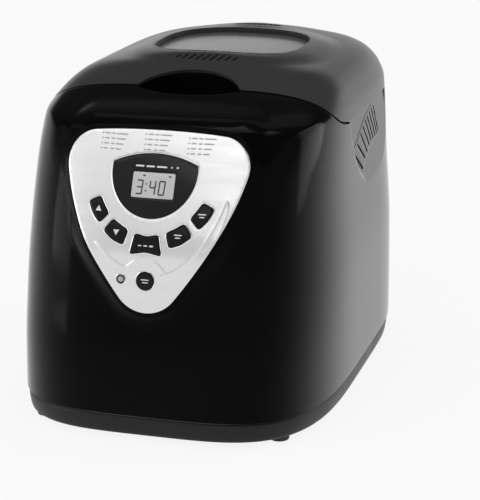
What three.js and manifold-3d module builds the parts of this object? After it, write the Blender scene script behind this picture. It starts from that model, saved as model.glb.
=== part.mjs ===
// A bread machine as an assembly: housing, hinged lid, control panel, oven chamber, pan and belt drive.
// Millimetres, +Z up. The origin is on the table under the middle of the machine. The front faces -Y.
import * as THREE from 'three';
import { mergeVertices } from 'three/addons/utils/BufferGeometryUtils.js';
import Module from 'manifold-3d';

const wasm = await Module();
wasm.setup();

// ---- driving dimensions: overall form ----
const bodyWidth = 287;
const bodyDepth = 407;
const bodyHeight = 308;
const formCentreY = 10;        // widest line of the plan, front to back
const frontSquareness = 3.8;   // superellipse exponents of the plan
const rearSquareness = 5.6;
const ringPoints = 36;
const wall = 3;
const fit = 0.3;               // gap between touching pieces
const runningGap = 0.35;       // gap round a moving piece

const below = (drop) => bodyHeight - drop;             // a height measured down from the top
const fromFront = (step) => step - bodyDepth / 2;      // a depth measured back from the front
const fromRear = (step) => bodyDepth / 2 - step;       // and forward from the rear

// Half width, front reach and rear reach of the form at heights above the table.
const halfWidthLine = [
  [0, bodyWidth / 2], [60, 143.2], [120, 142.5], [below(108), 137.5], [below(46), 133.5], [below(32), 127.6],
  [below(22), 118], [below(15), 103], [below(8), 58], [bodyHeight, 6]];
const frontLine = [
  [0, fromRear(0)], [60, fromRear(0)], [120, fromRear(8.2)], [below(118), fromRear(19)],
  [below(83), fromRear(31)], [below(56), fromRear(46)], [below(46), fromRear(54.5)],
  [below(38), fromRear(75.5)], [below(28), fromRear(109.5)], [below(18), fromRear(140.5)],
  [below(8), fromRear(176)], [below(3), fromRear(198.5)], [bodyHeight, fromRear(213.5)]];
const rearLine = [
  [0, fromRear(0)], [60, fromRear(0)], [120, fromRear(2.1)], [below(118), fromRear(4.5)],
  [below(23), fromRear(5.2)], [below(14), fromRear(7.5)], [below(8), fromRear(16.5)],
  [below(3), fromRear(37.5)], [bodyHeight, fromRear(55.5)]];
const shellLevels = [22.5, 60, 120, ...[128, 83, 58, 46, 40, 33, 26, 18].map(below)];
const shellInnerLevels = [20, 120, ...[83, 46, 33, 18].map(below)];
const lidLevels = [63, 46, 38, 31, 23, 17, 12, 7, 3, 0].map(below);
const lidInnerLevels = [63, 46, 31, 17, 10, 4.5].map(below);

// ---- driving dimensions: base and feet ----
const footHeight = 5;
const footRadius = 9;
const footStemRadius = 3;
const footX = 106;
const footFrontY = fromFront(43.5);
const footRearY = fromRear(38.5);
const glandX = -60;
const glandZ = 44;
const trayFloor = 2.5;
const trayTopZ = 22;
const trayInset = 9;           // how far the bottom outline draws in
const trayLip = 1.5;           // how far the top outline stands back from the housing
const postRadius = 6;
const postX = 96;
const postFrontY = fromFront(169.5);
const postRearY = fromRear(37.5);

// ---- driving dimensions: lid seam, hinge and grip ----
const seamGap = 2;
const seamFrontY = fromFront(124.5);        // the seam drops straight here,
const seamTurnZ = below(30);         // turns along a quarter ellipse from this height
const seamFlatY = seamFrontY + 57;         // and runs level from here
const seamZ = below(56.5);
const hingeY = fromRear(4.7);
const hingeRadius = 4.2;
const hingePinRadius = 1.6;
const hingeX = 56;
const knuckleLength = 22;
const earLength = 6;
const gripRadius = 58;         // plan radius of the finger notch in the lid
const gripDepth = 24;
const gripDish = [54, 23.5, 14.5];
const gripDishY = seamFrontY + 7;
const gripDishZ = below(18);

// ---- driving dimensions: lid window and vents ----
const ovenFrontY = seamFlatY + 2;    // the oven mouth fills the level part of the deck
const ovenRearY = fromRear(39.5);
const ovenY = (ovenFrontY + ovenRearY) / 2;
const ovenHalfY = (ovenRearY - ovenFrontY) / 2;
const windowY = ovenY - 6;
const windowHalfX = 68;
const windowHalfY = ovenHalfY - 21;
const windowRimZ = below(5);
const windowRing = 6;
const glassTopZ = below(11);
const glassThickness = 3;
const glassLap = 3;
const windowWall = 3.5;
const ovalPoints = 28;
const lidVentCount = 9;
const lidVentWidth = 3;
const lidVentLength = 12;
const lidVentSpan = 60;
const lidVentSlant = 25;       // degrees
const frontVentY = windowY - 90;
const rearVentY = windowY + 88;
const rearVentSpan = 46;

// ---- driving dimensions: control panel ----
const panelTilt = THREE.MathUtils.degToRad(24);
const chinTilt = THREE.MathUtils.degToRad(3.15);
const panelBackY = fromFront(103.5);
const panelY = fromFront(31);         // panel face at the dial centre
const dialZ = below(76.5);           // centre of the button arc and of the display window
const bendZ = below(135.4);           // where the upright chin meets the tilted panel
const bendRadius = 60;
const panelBowRadius = 417;    // the face bows back towards the sides
const fasciaThickness = 2;
const shieldFascia = {
  top: below(44.5), cornerX: 54, cornerZ: below(73), cornerR: 25.7, tipZ: below(162.2), tipR: 30.3 };
const shieldFoot = {
  top: below(35), cornerX: 62, cornerZ: below(70), cornerR: 33, tipZ: below(177), tipR: 45 };
const tipSweep = THREE.MathUtils.degToRad(38);
const cornerSweep = THREE.MathUtils.degToRad(14);
const fasciaMargin = 3.5;      // boss land left round the fascia
const bossOpeningInset = 7;
const panelStrips = 8;
const windowRadius = 37.5;
const windowCrownZ = dialZ + 13.5;
const windowCrownRadius = 88;
const displayWidth = 44;
const boardDepth = 20;         // control board behind the panel face
const boardThickness = 1.6;
const buttonProud = 1.3;
const buttonInner = 50.5;
const buttonOuter = 61.5;
const buttonMiddleOuter = 66;
const buttonPitch = 28;        // degrees between button centres
const buttonSweep = 9;         // half angle of a side button
const buttonMiddleSweep = 12;
const buttonFlange = 1.5;
const buttonDepth = 9;
const buttonTravel = 1.2;
const startZ = below(164.7);
const startRadius = 7.5;
const startWaist = 13.5;       // hollow under the middle button, round the start button
const lightX = -21.6;
const lightRadius = 3.6;

// ---- driving dimensions: side scoops ----
const scoopDeep = 127;         // floor of the scoop at the seam, from the middle plane
const scoopShallow = 139.6;    // and at its lowest point
const scoopLowZ = below(130);
const scoopY = ovenY - 32;
const slotCount = 9;
const slotWidth = 2.6;

// ---- driving dimensions: oven, pan and drive ----
const ovenHalfX = 98;
const ovenCorner = 32;
const deckMouthCorner = 6;     // squarer than the oven, whose lip covers it
const ovenLipCorner = 24;
const sheet = 1.2;
const ovenLip = 8;
const chassisThickness = 1.5;
const chassisTopZ = 49.8;
const chassisHalfX = 108;
const motorY = fromFront(108.5);
const chassisFrontY = motorY - 57;
const chassisRearY = fromRear(27.5);
const panHalfX = 78;
const panHalfY = ovenHalfY - 20;
const panTaper = 5;
const panCorner = 30;
const panWall = 1.6;
const panBottomZ = 76;
const panTopZ = seamZ - 43.5;
const panRim = 3;
const bailRadius = 2.4;
const bailReach = panHalfY - 6;
const bailPivotBelow = 9;
const bailRimGap = 2;
const elementRadius = 3.3;
const elementZ = 70;
const elementHalfX = 88;
const elementHalfY = ovenHalfY - 10;
const elementCorner = 30;
const elementTailX = 14;
const shaftRadius = 4;
const pulleyRadius = 55;
const pulleyZ = 20;
const pulleyHeight = 12;
const beltThickness = 2.4;
const beltHeight = 8;
const motorPulleyRadius = 8.5;
const motorRadius = 44;
const motorHeight = 72;

// ---- small helpers ----
const radians = THREE.MathUtils.degToRad;

// Smooth value through [height, value] points that never overshoots between them.
function lineAt(line, z) {
  const last = line.length - 1;
  if (z <= line[0][0]) return line[0][1];
  if (z >= line[last][0]) return line[last][1];
  const k = line.findIndex((p) => p[0] > z) - 1;
  const slope = (i) => (line[i + 1][1] - line[i][1]) / (line[i + 1][0] - line[i][0]);
  const tangent = (i) => {
    if (i === 0) return slope(0);
    if (i === last) return slope(last - 1);
    const a = slope(i - 1);
    const b = slope(i);
    return a * b > 0 ? 2 * a * b / (a + b) : 0;
  };
  const h = line[k + 1][0] - line[k][0];
  const t = (z - line[k][0]) / h;
  const rise = line[k][1] * (2 * t ** 3 - 3 * t ** 2 + 1) + line[k + 1][1] * (3 * t ** 2 - 2 * t ** 3);
  return rise + h * (tangent(k) * (t ** 3 - 2 * t ** 2 + t) + tangent(k + 1) * (t ** 3 - t ** 2));
}

// A geometry as a closed solid for cutting and joining.
function solid(geometry) {
  const bare = geometry.clone();
  bare.deleteAttribute('normal');
  bare.deleteAttribute('uv');
  const merged = mergeVertices(bare, 1e-4);
  const points = Float32Array.from(merged.attributes.position.array);
  const triangles = Uint32Array.from(merged.index.array);
  const kept = [];
  let volume = 0;
  for (let i = 0; i < triangles.length; i += 3) {
    const [a, b, c] = [triangles[i], triangles[i + 1], triangles[i + 2]];
    if (a === b || b === c || a === c) continue;
    kept.push(a, b, c);
    const [p, q, r] = [a, b, c].map((n) => new THREE.Vector3().fromArray(points, 3 * n));
    volume += p.dot(q.cross(r));
  }
  if (volume < 0) {
    for (let i = 0; i < kept.length; i += 3) {
      const first = kept[i];
      kept[i] = kept[i + 1];
      kept[i + 1] = first;
    }
  }
  return new wasm.Manifold(new wasm.Mesh({
    numProp: 3, vertProperties: points, triVerts: Uint32Array.from(kept) }));
}

// A solid back as a plain geometry.
function geometryOf(manifold) {
  const mesh = manifold.getMesh();
  const geometry = new THREE.BufferGeometry();
  geometry.setAttribute('position', new THREE.BufferAttribute(Float32Array.from(mesh.vertProperties), 3));
  geometry.setIndex(new THREE.BufferAttribute(Uint32Array.from(mesh.triVerts), 1));
  return geometry;
}

const joined = (list) => list.reduce((sum, next) => sum.add(next));
const without = (base, list) => list.reduce((rest, next) => rest.subtract(next), base);

// A closed body through matching rings of points, from a cylinder's own mesh.
function loft(rings) {
  const count = rings[0].length;
  const spans = rings.length - 1;
  const geometry = new THREE.CylinderGeometry(1, 1, 1, count, spans);
  const position = geometry.attributes.position;
  const middles = rings.map((ring) => ring.reduce((sum, p) => sum.add(p), new THREE.Vector3())
    .divideScalar(count));
  for (let i = 0; i < position.count; i += 1) {
    const level = Math.round((0.5 - position.getY(i)) * spans);
    const onAxis = Math.hypot(position.getX(i), position.getZ(i)) < 0.5;
    const turn = Math.round(Math.atan2(position.getX(i), position.getZ(i)) / (2 * Math.PI) * count);
    const point = onAxis ? middles[level] : rings[level][(turn + count) % count];
    position.setXYZ(i, point.x, point.y, point.z);
  }
  return solid(geometry);
}

// One plan ring of the housing form, drawn in by an inset.
function formRing(z, inset = 0, height = z) {
  const halfWidth = lineAt(halfWidthLine, z) - inset;
  const front = lineAt(frontLine, z) + formCentreY - inset;
  const rear = lineAt(rearLine, z) - formCentreY - inset;
  return Array.from({ length: ringPoints }, (_, i) => {
    const angle = 2 * Math.PI * i / ringPoints;
    const power = Math.sin(angle) < 0 ? 2 / frontSquareness : 2 / rearSquareness;
    const along = (value) => Math.sign(value) * Math.abs(value) ** power;
    const reach = Math.sin(angle) < 0 ? front : rear;
    return new THREE.Vector3(halfWidth * along(Math.cos(angle)),
      formCentreY + reach * along(Math.sin(angle)), height);
  });
}

const formSolid = (levels, inset = 0) => loft(levels.map((z) => formRing(z, inset)));

const pushed = (shape, depth, curveSegments) => (
  new THREE.ExtrudeGeometry(shape, { depth, bevelEnabled: false, curveSegments }));

// A flat outline pushed along +Z, between two heights.
function plate(shape, fromZ, toZ, curveSegments = 3) {
  const geometry = pushed(shape, toZ - fromZ, curveSegments);
  geometry.translate(0, 0, fromZ);
  return solid(geometry);
}

// An outline in (y, z) pushed across the machine, from one x to another.
function acrossX(shape, fromX, toX, curveSegments = 4) {
  const geometry = pushed(shape, toX - fromX, curveSegments);
  geometry.applyMatrix4(new THREE.Matrix4().set(0, 0, 1, fromX, 1, 0, 0, 0, 0, 1, 0, 0, 0, 0, 0, 1));
  return solid(geometry);
}

// An outline in (x, z) pushed back along +Y, from one y to another.
function alongY(shape, fromY, toY, curveSegments = 6) {
  const geometry = pushed(shape, toY - fromY, curveSegments);
  geometry.applyMatrix4(new THREE.Matrix4().set(1, 0, 0, 0, 0, 0, 1, fromY, 0, 1, 0, 0, 0, 0, 0, 1));
  return solid(geometry);
}

function box(x0, x1, y0, y1, z0, z1) {
  const geometry = new THREE.BoxGeometry(x1 - x0, y1 - y0, z1 - z0);
  geometry.translate((x0 + x1) / 2, (y0 + y1) / 2, (z0 + z1) / 2);
  return solid(geometry);
}

// A round bar or cone standing on +Z.
function rod(x, y, fromZ, toZ, radius, topRadius = radius, segments = 16) {
  const geometry = new THREE.CylinderGeometry(topRadius, radius, toZ - fromZ, segments);
  geometry.rotateX(Math.PI / 2);
  geometry.translate(x, y, (fromZ + toZ) / 2);
  return solid(geometry);
}

// A round bar lying along X.
function rodX(fromX, toX, y, z, radius, segments = 14) {
  const geometry = new THREE.CylinderGeometry(radius, radius, toX - fromX, segments);
  geometry.rotateZ(Math.PI / 2);
  geometry.translate((fromX + toX) / 2, y, z);
  return solid(geometry);
}

// A round bar lying along Y.
function rodY(x, fromY, toY, z, radius, segments = 14) {
  const geometry = new THREE.CylinderGeometry(radius, radius, toY - fromY, segments);
  geometry.translate(x, (fromY + toY) / 2, z);
  return solid(geometry);
}

// A turned piece about a vertical axis, from [radius, height] points that start and end on the axis.
function turned(profile, x, y, segments = 24) {
  const geometry = new THREE.LatheGeometry(profile.map((p) => new THREE.Vector2(p[0], p[1])), segments);
  geometry.rotateX(Math.PI / 2);
  geometry.translate(x, y, 0);
  return solid(geometry);
}

function roundedRect(halfX, halfY, radius, centreY = 0) {
  const r = Math.min(radius, halfX, halfY);
  const shape = new THREE.Shape();
  shape.absarc(halfX - r, centreY - halfY + r, r, -Math.PI / 2, 0);
  shape.absarc(halfX - r, centreY + halfY - r, r, 0, Math.PI / 2);
  shape.absarc(-halfX + r, centreY + halfY - r, r, Math.PI / 2, Math.PI);
  shape.absarc(-halfX + r, centreY - halfY + r, r, Math.PI, 1.5 * Math.PI);
  shape.closePath();
  return shape;
}

// A tube with round section along a path.
function tube(path, radius, steps, sides = 10) {
  const section = new THREE.Shape();
  section.absarc(0, 0, radius, 0, 2 * Math.PI);
  return solid(new THREE.ExtrudeGeometry(section, { extrudePath: path, steps, curveSegments: sides / 2 }));
}

const parts = new THREE.Group();

function add(name, manifold, color, roughness, metalness = 0, parent = parts) {
  const material = new THREE.MeshStandardMaterial({ color, roughness, metalness });
  const mesh = new THREE.Mesh(geometryOf(manifold), material);
  mesh.name = name;
  parent.add(mesh);
  return mesh;
}

const gloss = 0x101010;
const satin = 0x1c1c1c;
const steel = 0xb8bcc0;
const silver = 0xd8dadc;

// ---- housing ----
// The region above the lid seam in side view, moved up and back by a gap.
function aboveSeam(gap, openBelow = 0) {
  const front = seamFrontY + gap;
  const shape = new THREE.Shape();
  shape.moveTo(front, bodyHeight + 20);
  shape.lineTo(front, seamTurnZ);
  if (openBelow > 0) {
    shape.lineTo(front, seamZ - openBelow);
    shape.lineTo(bodyDepth, seamZ - openBelow);
  } else {
    shape.absellipse(seamFlatY, seamTurnZ, seamFlatY - front, seamTurnZ - seamZ - gap,
      Math.PI, 1.5 * Math.PI, false, 0);
    shape.lineTo(bodyDepth, seamZ + gap);
  }
  shape.lineTo(bodyDepth, bodyHeight + 20);
  shape.closePath();
  return acrossX(shape, -bodyWidth, bodyWidth);
}

// Outline points of the shield: a rounded triangle, tip down, made of arcs and full curves.
function shieldPoints(s, grow = 0) {
  const cornerR = s.cornerR + grow;
  const tipR = s.tipR + grow;
  const top = s.top + grow;
  const tipEnd = [tipR * Math.cos(tipSweep), s.tipZ - tipR * Math.sin(tipSweep)];
  const cornerStart = [
    s.cornerX + cornerR * Math.cos(cornerSweep), s.cornerZ - cornerR * Math.sin(cornerSweep)];
  const [ax, az] = [Math.sin(tipSweep), Math.cos(tipSweep)];
  const [bx, bz] = [Math.sin(cornerSweep), Math.cos(cornerSweep)];
  const [dx, dz] = [cornerStart[0] - tipEnd[0], cornerStart[1] - tipEnd[1]];
  const reach = (dx * bz - dz * bx) / (ax * bz - az * bx);
  const half = new THREE.Path();
  half.absarc(0, s.tipZ, tipR, -Math.PI / 2, -tipSweep);
  half.quadraticCurveTo(tipEnd[0] + ax * reach, tipEnd[1] + az * reach, cornerStart[0], cornerStart[1]);
  half.absarc(s.cornerX, s.cornerZ, cornerR, -cornerSweep, radians(84));
  half.quadraticCurveTo(s.cornerX * 0.6, top, 0, top);
  const points = half.curves.flatMap((curve, i) => curve.getPoints([4, 5, 6, 3][i] ?? 1).slice(0, -1))
    .filter((p, i, all) => i === 0 || p.distanceTo(all[i - 1]) > 0.01);
  const mirrored = points.slice(1).reverse().map((p) => new THREE.Vector2(-p.x, p.y));
  return [...points, new THREE.Vector2(0, top), ...mirrored];
}

const shieldShape = (s, grow = 0) => new THREE.Shape(shieldPoints(s, grow));

// Panel face in side view: an upright chin, a bend and the tilted panel, moved back by a depth.
const chinY = (z) => panelY + (bendZ - dialZ) * Math.tan(panelTilt) + (z - bendZ) * Math.tan(chinTilt);
const faceY = (z) => (z > bendZ ? panelY + (z - dialZ) * Math.tan(panelTilt) : chinY(z));

function behindPanel(depth, toY) {
  const [low, high] = [40, bodyHeight + 32];
  const turn = bendRadius * Math.tan((panelTilt - chinTilt) / 2);
  const at = (y, z, tilt) => [y + depth * Math.cos(tilt), z - depth * Math.sin(tilt)];
  const bendY = faceY(bendZ);
  const shape = new THREE.Shape();
  const start = at(chinY(low), low, chinTilt);
  const before = at(bendY - turn * Math.sin(chinTilt), bendZ - turn * Math.cos(chinTilt), chinTilt);
  const middle = at(bendY, bendZ, (panelTilt + chinTilt) / 2);
  const after = at(bendY + turn * Math.sin(panelTilt), bendZ + turn * Math.cos(panelTilt), panelTilt);
  const end = at(faceY(high), high, panelTilt);
  shape.moveTo(start[0], start[1]);
  shape.lineTo(before[0], before[1]);
  shape.quadraticCurveTo(middle[0], middle[1], after[0], after[1]);
  shape.lineTo(end[0], end[1]);
  shape.lineTo(toY, end[1]);
  shape.lineTo(toY, start[1]);
  shape.closePath();
  return shape;
}

// The space behind the panel face, bowed back towards the sides.
function panelSlab(depth, toY) {
  const halfWidth = 110;
  const geometry = new THREE.ExtrudeGeometry(behindPanel(depth, toY),
    { depth: 2 * halfWidth, steps: panelStrips, bevelEnabled: false, curveSegments: 3 });
  geometry.applyMatrix4(new THREE.Matrix4().set(0, 0, 1, -halfWidth, 1, 0, 0, 0, 0, 1, 0, 0, 0, 0, 0, 1));
  const position = geometry.attributes.position;
  for (let i = 0; i < position.count; i += 1) {
    if (position.getY(i) > toY - 1) continue;
    position.setY(i, position.getY(i) + position.getX(i) ** 2 / (2 * panelBowRadius));
  }
  return solid(geometry);
}

// The raised shield that carries the control panel, flaring back into the housing.
function bossSolid(inset) {
  const front = shieldPoints(shieldFascia, fasciaMargin - inset);
  const foot = shieldPoints(shieldFoot, -inset);
  const ringAt = (share, y) => front.map((p, i) => {
    const [x, z] = [p.x + (foot[i].x - p.x) * share, p.y + (foot[i].y - p.y) * share];
    return new THREE.Vector3(x, y(x, z), z);
  });
  const face = (x, z) => faceY(z) + x ** 2 / (2 * panelBowRadius);
  const flare = loft([
    ringAt(0, (x, z) => face(x, z) - 8),
    ringAt(0, (x, z) => face(x, z) + fasciaThickness + 1),
    ringAt(0.5, (x, z) => face(x, z) + 5),
    ringAt(1, (x, z) => face(x, z) + 14),
    ringAt(1, () => panelY + 52.5)]);
  return flare.intersect(panelSlab(fasciaThickness + fit + inset, panelBackY));
}

function scoopShape(grow) {
  const top = seamZ + 12;
  const shape = new THREE.Shape();
  shape.moveTo(scoopY - 66 - grow, top);
  shape.lineTo(scoopY - 65 - grow, seamZ);
  const floorZ = scoopLowZ - grow;
  shape.bezierCurveTo(scoopY - 58 - grow, seamZ - 43.5, scoopY - 14, floorZ, scoopY + 30, floorZ);
  shape.quadraticCurveTo(scoopY + 66 + grow, floorZ, scoopY + 68 + grow, seamZ - 37.5);
  shape.lineTo(scoopY + 69 + grow, top);
  shape.closePath();
  return shape;
}

// The scoop in one side, with a floor that leans in towards the lid.
function scoopSolid(side, grow) {
  const outer = bodyWidth / 2 + 12;
  const geometry = new THREE.ExtrudeGeometry(scoopShape(grow),
    { depth: 1, bevelEnabled: false, curveSegments: 6 });
  geometry.applyMatrix4(new THREE.Matrix4().set(0, 0, 1, 0, 1, 0, 0, 0, 0, 1, 0, 0, 0, 0, 0, 1));
  const position = geometry.attributes.position;
  const lean = (scoopShallow - scoopDeep) / (seamZ - scoopLowZ);
  for (let i = 0; i < position.count; i += 1) {
    const floorX = scoopShallow - grow - lean * (position.getZ(i) - scoopLowZ);
    position.setX(i, side * (position.getX(i) > 0.5 ? outer : floorX));
  }
  return solid(geometry);
}

// Slots that fan across the scoop floor.
function scoopSlots(side) {
  const topEdge = new THREE.QuadraticBezierCurve(
    new THREE.Vector2(scoopY - 42, seamZ - 35.5),
    new THREE.Vector2(scoopY + 5, seamZ - 15.5),
    new THREE.Vector2(scoopY + 61, seamZ - 9.5));
  const lowEdge = new THREE.QuadraticBezierCurve(
    new THREE.Vector2(scoopY - 18, seamZ - 51.5),
    new THREE.Vector2(scoopY + 20, seamZ - 37.5),
    new THREE.Vector2(scoopY + 65, seamZ - 34.5));
  return Array.from({ length: slotCount }, (_, i) => {
    const [top, low] = [topEdge.getPoint(i / (slotCount - 1)), lowEdge.getPoint(i / (slotCount - 1))];
    const along = top.clone().sub(low);
    const geometry = new THREE.BoxGeometry(40, slotWidth, along.length());
    geometry.rotateX(Math.atan2(-along.x, along.y));
    geometry.translate(side * (scoopDeep + 6), (top.x + low.x) / 2, (top.y + low.y) / 2);
    return solid(geometry);
  });
}

// The finger notch: a round plan cut in the lid, meeting a dished floor in the housing.
function gripNotch(grow, fromZ, toZ) {
  const centreY = seamFrontY + gripDepth - gripRadius;
  return rod(0, centreY, fromZ, toZ, gripRadius + grow, gripRadius + grow, 40);
}

function gripDishSolid() {
  const geometry = new THREE.SphereGeometry(1, 16, 8);
  geometry.scale(...gripDish);
  geometry.translate(0, gripDishY, gripDishZ);
  return solid(geometry);
}

const sides = [-1, 1];
const knuckleEnds = (side, from, to) => [side * from, side * to].sort((a, b) => a - b);

function hingeEars() {
  const inner = knuckleLength / 2 + fit;
  return sides.flatMap((side) => sides.map((end) => {
    const middle = side * hingeX + end * (inner + earLength / 2);
    const [x0, x1] = [middle - earLength / 2, middle + earLength / 2];
    const root = new THREE.Shape();
    root.moveTo(hingeY - 3.5, seamZ);
    root.lineTo(hingeY + hingeRadius, seamZ);
    root.lineTo(hingeY + hingeRadius, seamZ - 5);
    root.lineTo(hingeY - 2, seamZ - 16);
    root.lineTo(hingeY - 3.5, seamZ - 16);
    root.closePath();
    return rodX(x0, x1, hingeY, seamZ, hingeRadius).add(acrossX(root, x0, x1));
  }));
}

const hingeBores = (radius) => sides.map((side) => {
  const reach = knuckleLength / 2 + earLength + 2;
  return rodX(side * hingeX - reach, side * hingeX + reach, hingeY, seamZ, radius);
});

function bodyShell() {
  const outer = formSolid(shellLevels).add(bossSolid(0));
  const roof = aboveSeam(-wall - seamGap / 2);
  let inner = formSolid(shellInnerLevels, wall).add(bossSolid(wall));
  inner = inner.subtract(roof);
  inner = without(inner, sides.map((side) => scoopSolid(side, wall)));
  let shell = outer.subtract(inner).subtract(aboveSeam(-seamGap / 2));
  shell = without(shell, sides.map((side) => scoopSolid(side, 0)));
  shell = without(shell, sides.flatMap(scoopSlots));
  shell = shell.add(joined(hingeEars()));
  const knuckleSpace = sides.map((side) => {
    const reach = knuckleLength / 2 + fit;
    return rodX(side * hingeX - reach, side * hingeX + reach, hingeY, seamZ, hingeRadius + 0.7);
  });
  const mouthShape = roundedRect(ovenHalfX + fit, ovenHalfY + fit, deckMouthCorner, ovenY);
  const ovenMouth = plate(mouthShape, seamZ - 50, seamZ + 10);
  const panelOpening = alongY(shieldShape(shieldFascia, -bossOpeningInset), panelY - 60, panelY + 32);
  const panelPocket = alongY(shieldShape(shieldFascia, fit), panelY - 60, panelY + 52)
    .subtract(panelSlab(fasciaThickness + fit, panelBackY));
  return without(shell, [...knuckleSpace, ...hingeBores(hingePinRadius + fit), ovenMouth,
    gripDishSolid(), panelOpening, panelPocket]);
}

function baseTray() {
  const bottom = formRing(60, trayInset, footHeight);
  const heel = formRing(60, trayInset - 3.5, footHeight + 3);
  const top = formRing(60, trayLip, trayTopZ);
  const shell = loft([bottom, heel, top]);
  const hollow = loft([formRing(60, trayInset + wall, footHeight + trayFloor),
    formRing(60, trayLip + wall, trayTopZ + 1)]);
  const posts = [-1, 1].flatMap((side) => [postFrontY, postRearY].map((y) => (
    rod(side * postX, y, footHeight + 1, chassisTopZ - chassisThickness - fit, postRadius, postRadius, 12))));
  const stemHole = footStemRadius + fit;
  const stems = footPlaces().map(([x, y]) => rod(x, y, 0, 12, stemHole, stemHole, 10));
  const pads = footPlaces().map(([x, y]) => rod(x, y, footHeight + trayFloor - 1, footHeight + 6,
    footStemRadius + 3, footStemRadius + 3, 12));
  const slots = [];
  for (let row = 0; row < 6; row += 1) {
    const y = motorY - 28 + row * 8;
    slots.push(box(-30, 30, y - 1.5, y + 1.5, 0, footHeight + trayFloor + 1));
  }
  return without(shell.subtract(hollow).add(joined([...posts, ...pads])), [...stems, ...slots]);
}

function footPlaces() {
  return [-1, 1].flatMap((side) => [footFrontY, footRearY].map((y) => [side * footX, y]));
}

const footProfile = [
  [0, 0], [footRadius - 1.5, 0], [footRadius, 1.5], [footRadius, footHeight - fit],
  [footStemRadius, footHeight - fit], [footStemRadius, footHeight + 6.6], [0, footHeight + 6.6]];

// ---- lid ----
function lidVents(centreY, span) {
  return Array.from({ length: lidVentCount }, (_, i) => {
    const share = (i + 0.5) / lidVentCount * 2 - 1;
    const length = lidVentLength * Math.sqrt(1 - share ** 2 * 0.8);
    const geometry = new THREE.BoxGeometry(lidVentWidth, length, 40);
    geometry.rotateZ(-radians(lidVentSlant));
    geometry.translate(share * span / 2, centreY, bodyHeight - 10);
    return solid(geometry);
  });
}

// A ring or cone with an oval plan round the lid window.
function oval(grow0, z0, grow1, z1) {
  const ring = (grow, z) => Array.from({ length: ovalPoints }, (_, i) => {
    const angle = 2 * Math.PI * i / ovalPoints;
    return new THREE.Vector3((windowHalfX + grow) * Math.cos(angle),
      windowY + (windowHalfY + grow) * Math.sin(angle), z);
  });
  return loft([ring(grow0, z0), ring(grow1, z1)]);
}

function lidShell() {
  const outer = formSolid(lidLevels);
  const inner = formSolid(lidInnerLevels, wall);
  let shell = outer.intersect(aboveSeam(seamGap / 2));
  shell = shell.subtract(inner.intersect(aboveSeam(seamGap / 2 + wall, 40)));
  const wellBottom = glassTopZ - glassThickness - 2;
  const well = oval(glassLap + windowWall, wellBottom, glassLap + windowWall, windowRimZ - 3);
  const rim = oval(windowRing + 2, windowRimZ - 7, 1.5, windowRimZ);
  shell = shell.add(well).add(rim.intersect(oval(20, windowRimZ - 10, 20, windowRimZ + 1)));
  shell = shell.subtract(oval(1.5, windowRimZ, windowRing + 3, bodyHeight + 3));
  shell = shell.subtract(oval(0, wellBottom - 20, 0, bodyHeight + 20));
  shell = shell.subtract(oval(glassLap + fit, wellBottom - 20, glassLap + fit, glassTopZ + fit));
  const notchWall = gripNotch(wall, seamZ, bodyHeight).intersect(outer.intersect(aboveSeam(seamGap / 2)));
  shell = shell.add(notchWall).subtract(gripNotch(0, seamZ - 20, bodyHeight + 20));
  shell = without(shell, [...lidVents(frontVentY, lidVentSpan), ...lidVents(rearVentY, rearVentSpan)]);
  const knuckles = sides.map((side) => {
    const [x0, x1] = [side * hingeX - knuckleLength / 2, side * hingeX + knuckleLength / 2];
    const barrel = rodX(x0, x1, hingeY, seamZ, hingeRadius);
    return barrel.add(box(x0, x1, hingeY - 3.2, hingeY + 1.5, seamZ, seamZ + 12));
  });
  const earSpace = sides.flatMap((side) => sides.map((end) => {
    const near = side * hingeX + end * knuckleLength / 2;
    const far = near + end * (earLength + 2 * fit);
    return rodX(Math.min(near, far), Math.max(near, far), hingeY, seamZ, hingeRadius + 0.7);
  }));
  shell = without(shell, earSpace).add(joined(knuckles));
  return without(shell, hingeBores(hingePinRadius + fit));
}

const linerFlangeZ = seamZ + seamGap / 2 + 3;
const linerTopZ = seamZ + 28.5;
const gasketZ = seamZ + 0.8;

// The oven outline in plan, grown all round.
const ovenOutline = (grow, corner = grow) => (
  roundedRect(ovenHalfX + grow, ovenHalfY + grow, ovenCorner + corner, ovenY));

function lidLiner() {
  const rim = [linerFlangeZ, linerFlangeZ + sheet];
  const flange = loft(rim.map((z) => formRing(linerFlangeZ, wall + 0.8, z)))
    .intersect(box(-bodyWidth, bodyWidth, seamFlatY - 28, hingeY - 12, 0, bodyHeight));
  const domeShape = (inset) => ovenOutline(5 - inset, 8);
  const dome = plate(domeShape(0), linerFlangeZ, linerTopZ).subtract(
    plate(domeShape(sheet), linerFlangeZ - 1, linerTopZ - sheet));
  const mouth = plate(domeShape(sheet), linerFlangeZ - 5, linerFlangeZ + 4);
  const viewHole = oval(-7, linerTopZ - 5, -7, linerTopZ + 5);
  return flange.subtract(mouth).add(dome).subtract(viewHole);
}

function lidGasket() {
  return plate(ovenOutline(14, 12), gasketZ, linerFlangeZ - fit)
    .subtract(plate(ovenOutline(6, 8), 0, bodyHeight));
}

// The clear oval under the lid opening.
const windowGlass = () => oval(glassLap, glassTopZ - glassThickness, glassLap, glassTopZ);

// ---- control panel ----
// An outline drawn in elevation round the dial centre, pushed square through the tilted panel.
function throughPanel(shape, fromDepth, toDepth, curveSegments = 2) {
  const geometry = pushed(shape, toDepth - fromDepth, curveSegments);
  geometry.scale(1, 1 / Math.cos(panelTilt), 1);
  geometry.translate(0, 0, fromDepth);
  const [c, s] = [Math.cos(panelTilt), Math.sin(panelTilt)];
  geometry.applyMatrix4(new THREE.Matrix4().set(
    1, 0, 0, 0, 0, s, c, panelY, 0, c, -s, dialZ, 0, 0, 0, 1));
  return solid(geometry);
}

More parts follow.
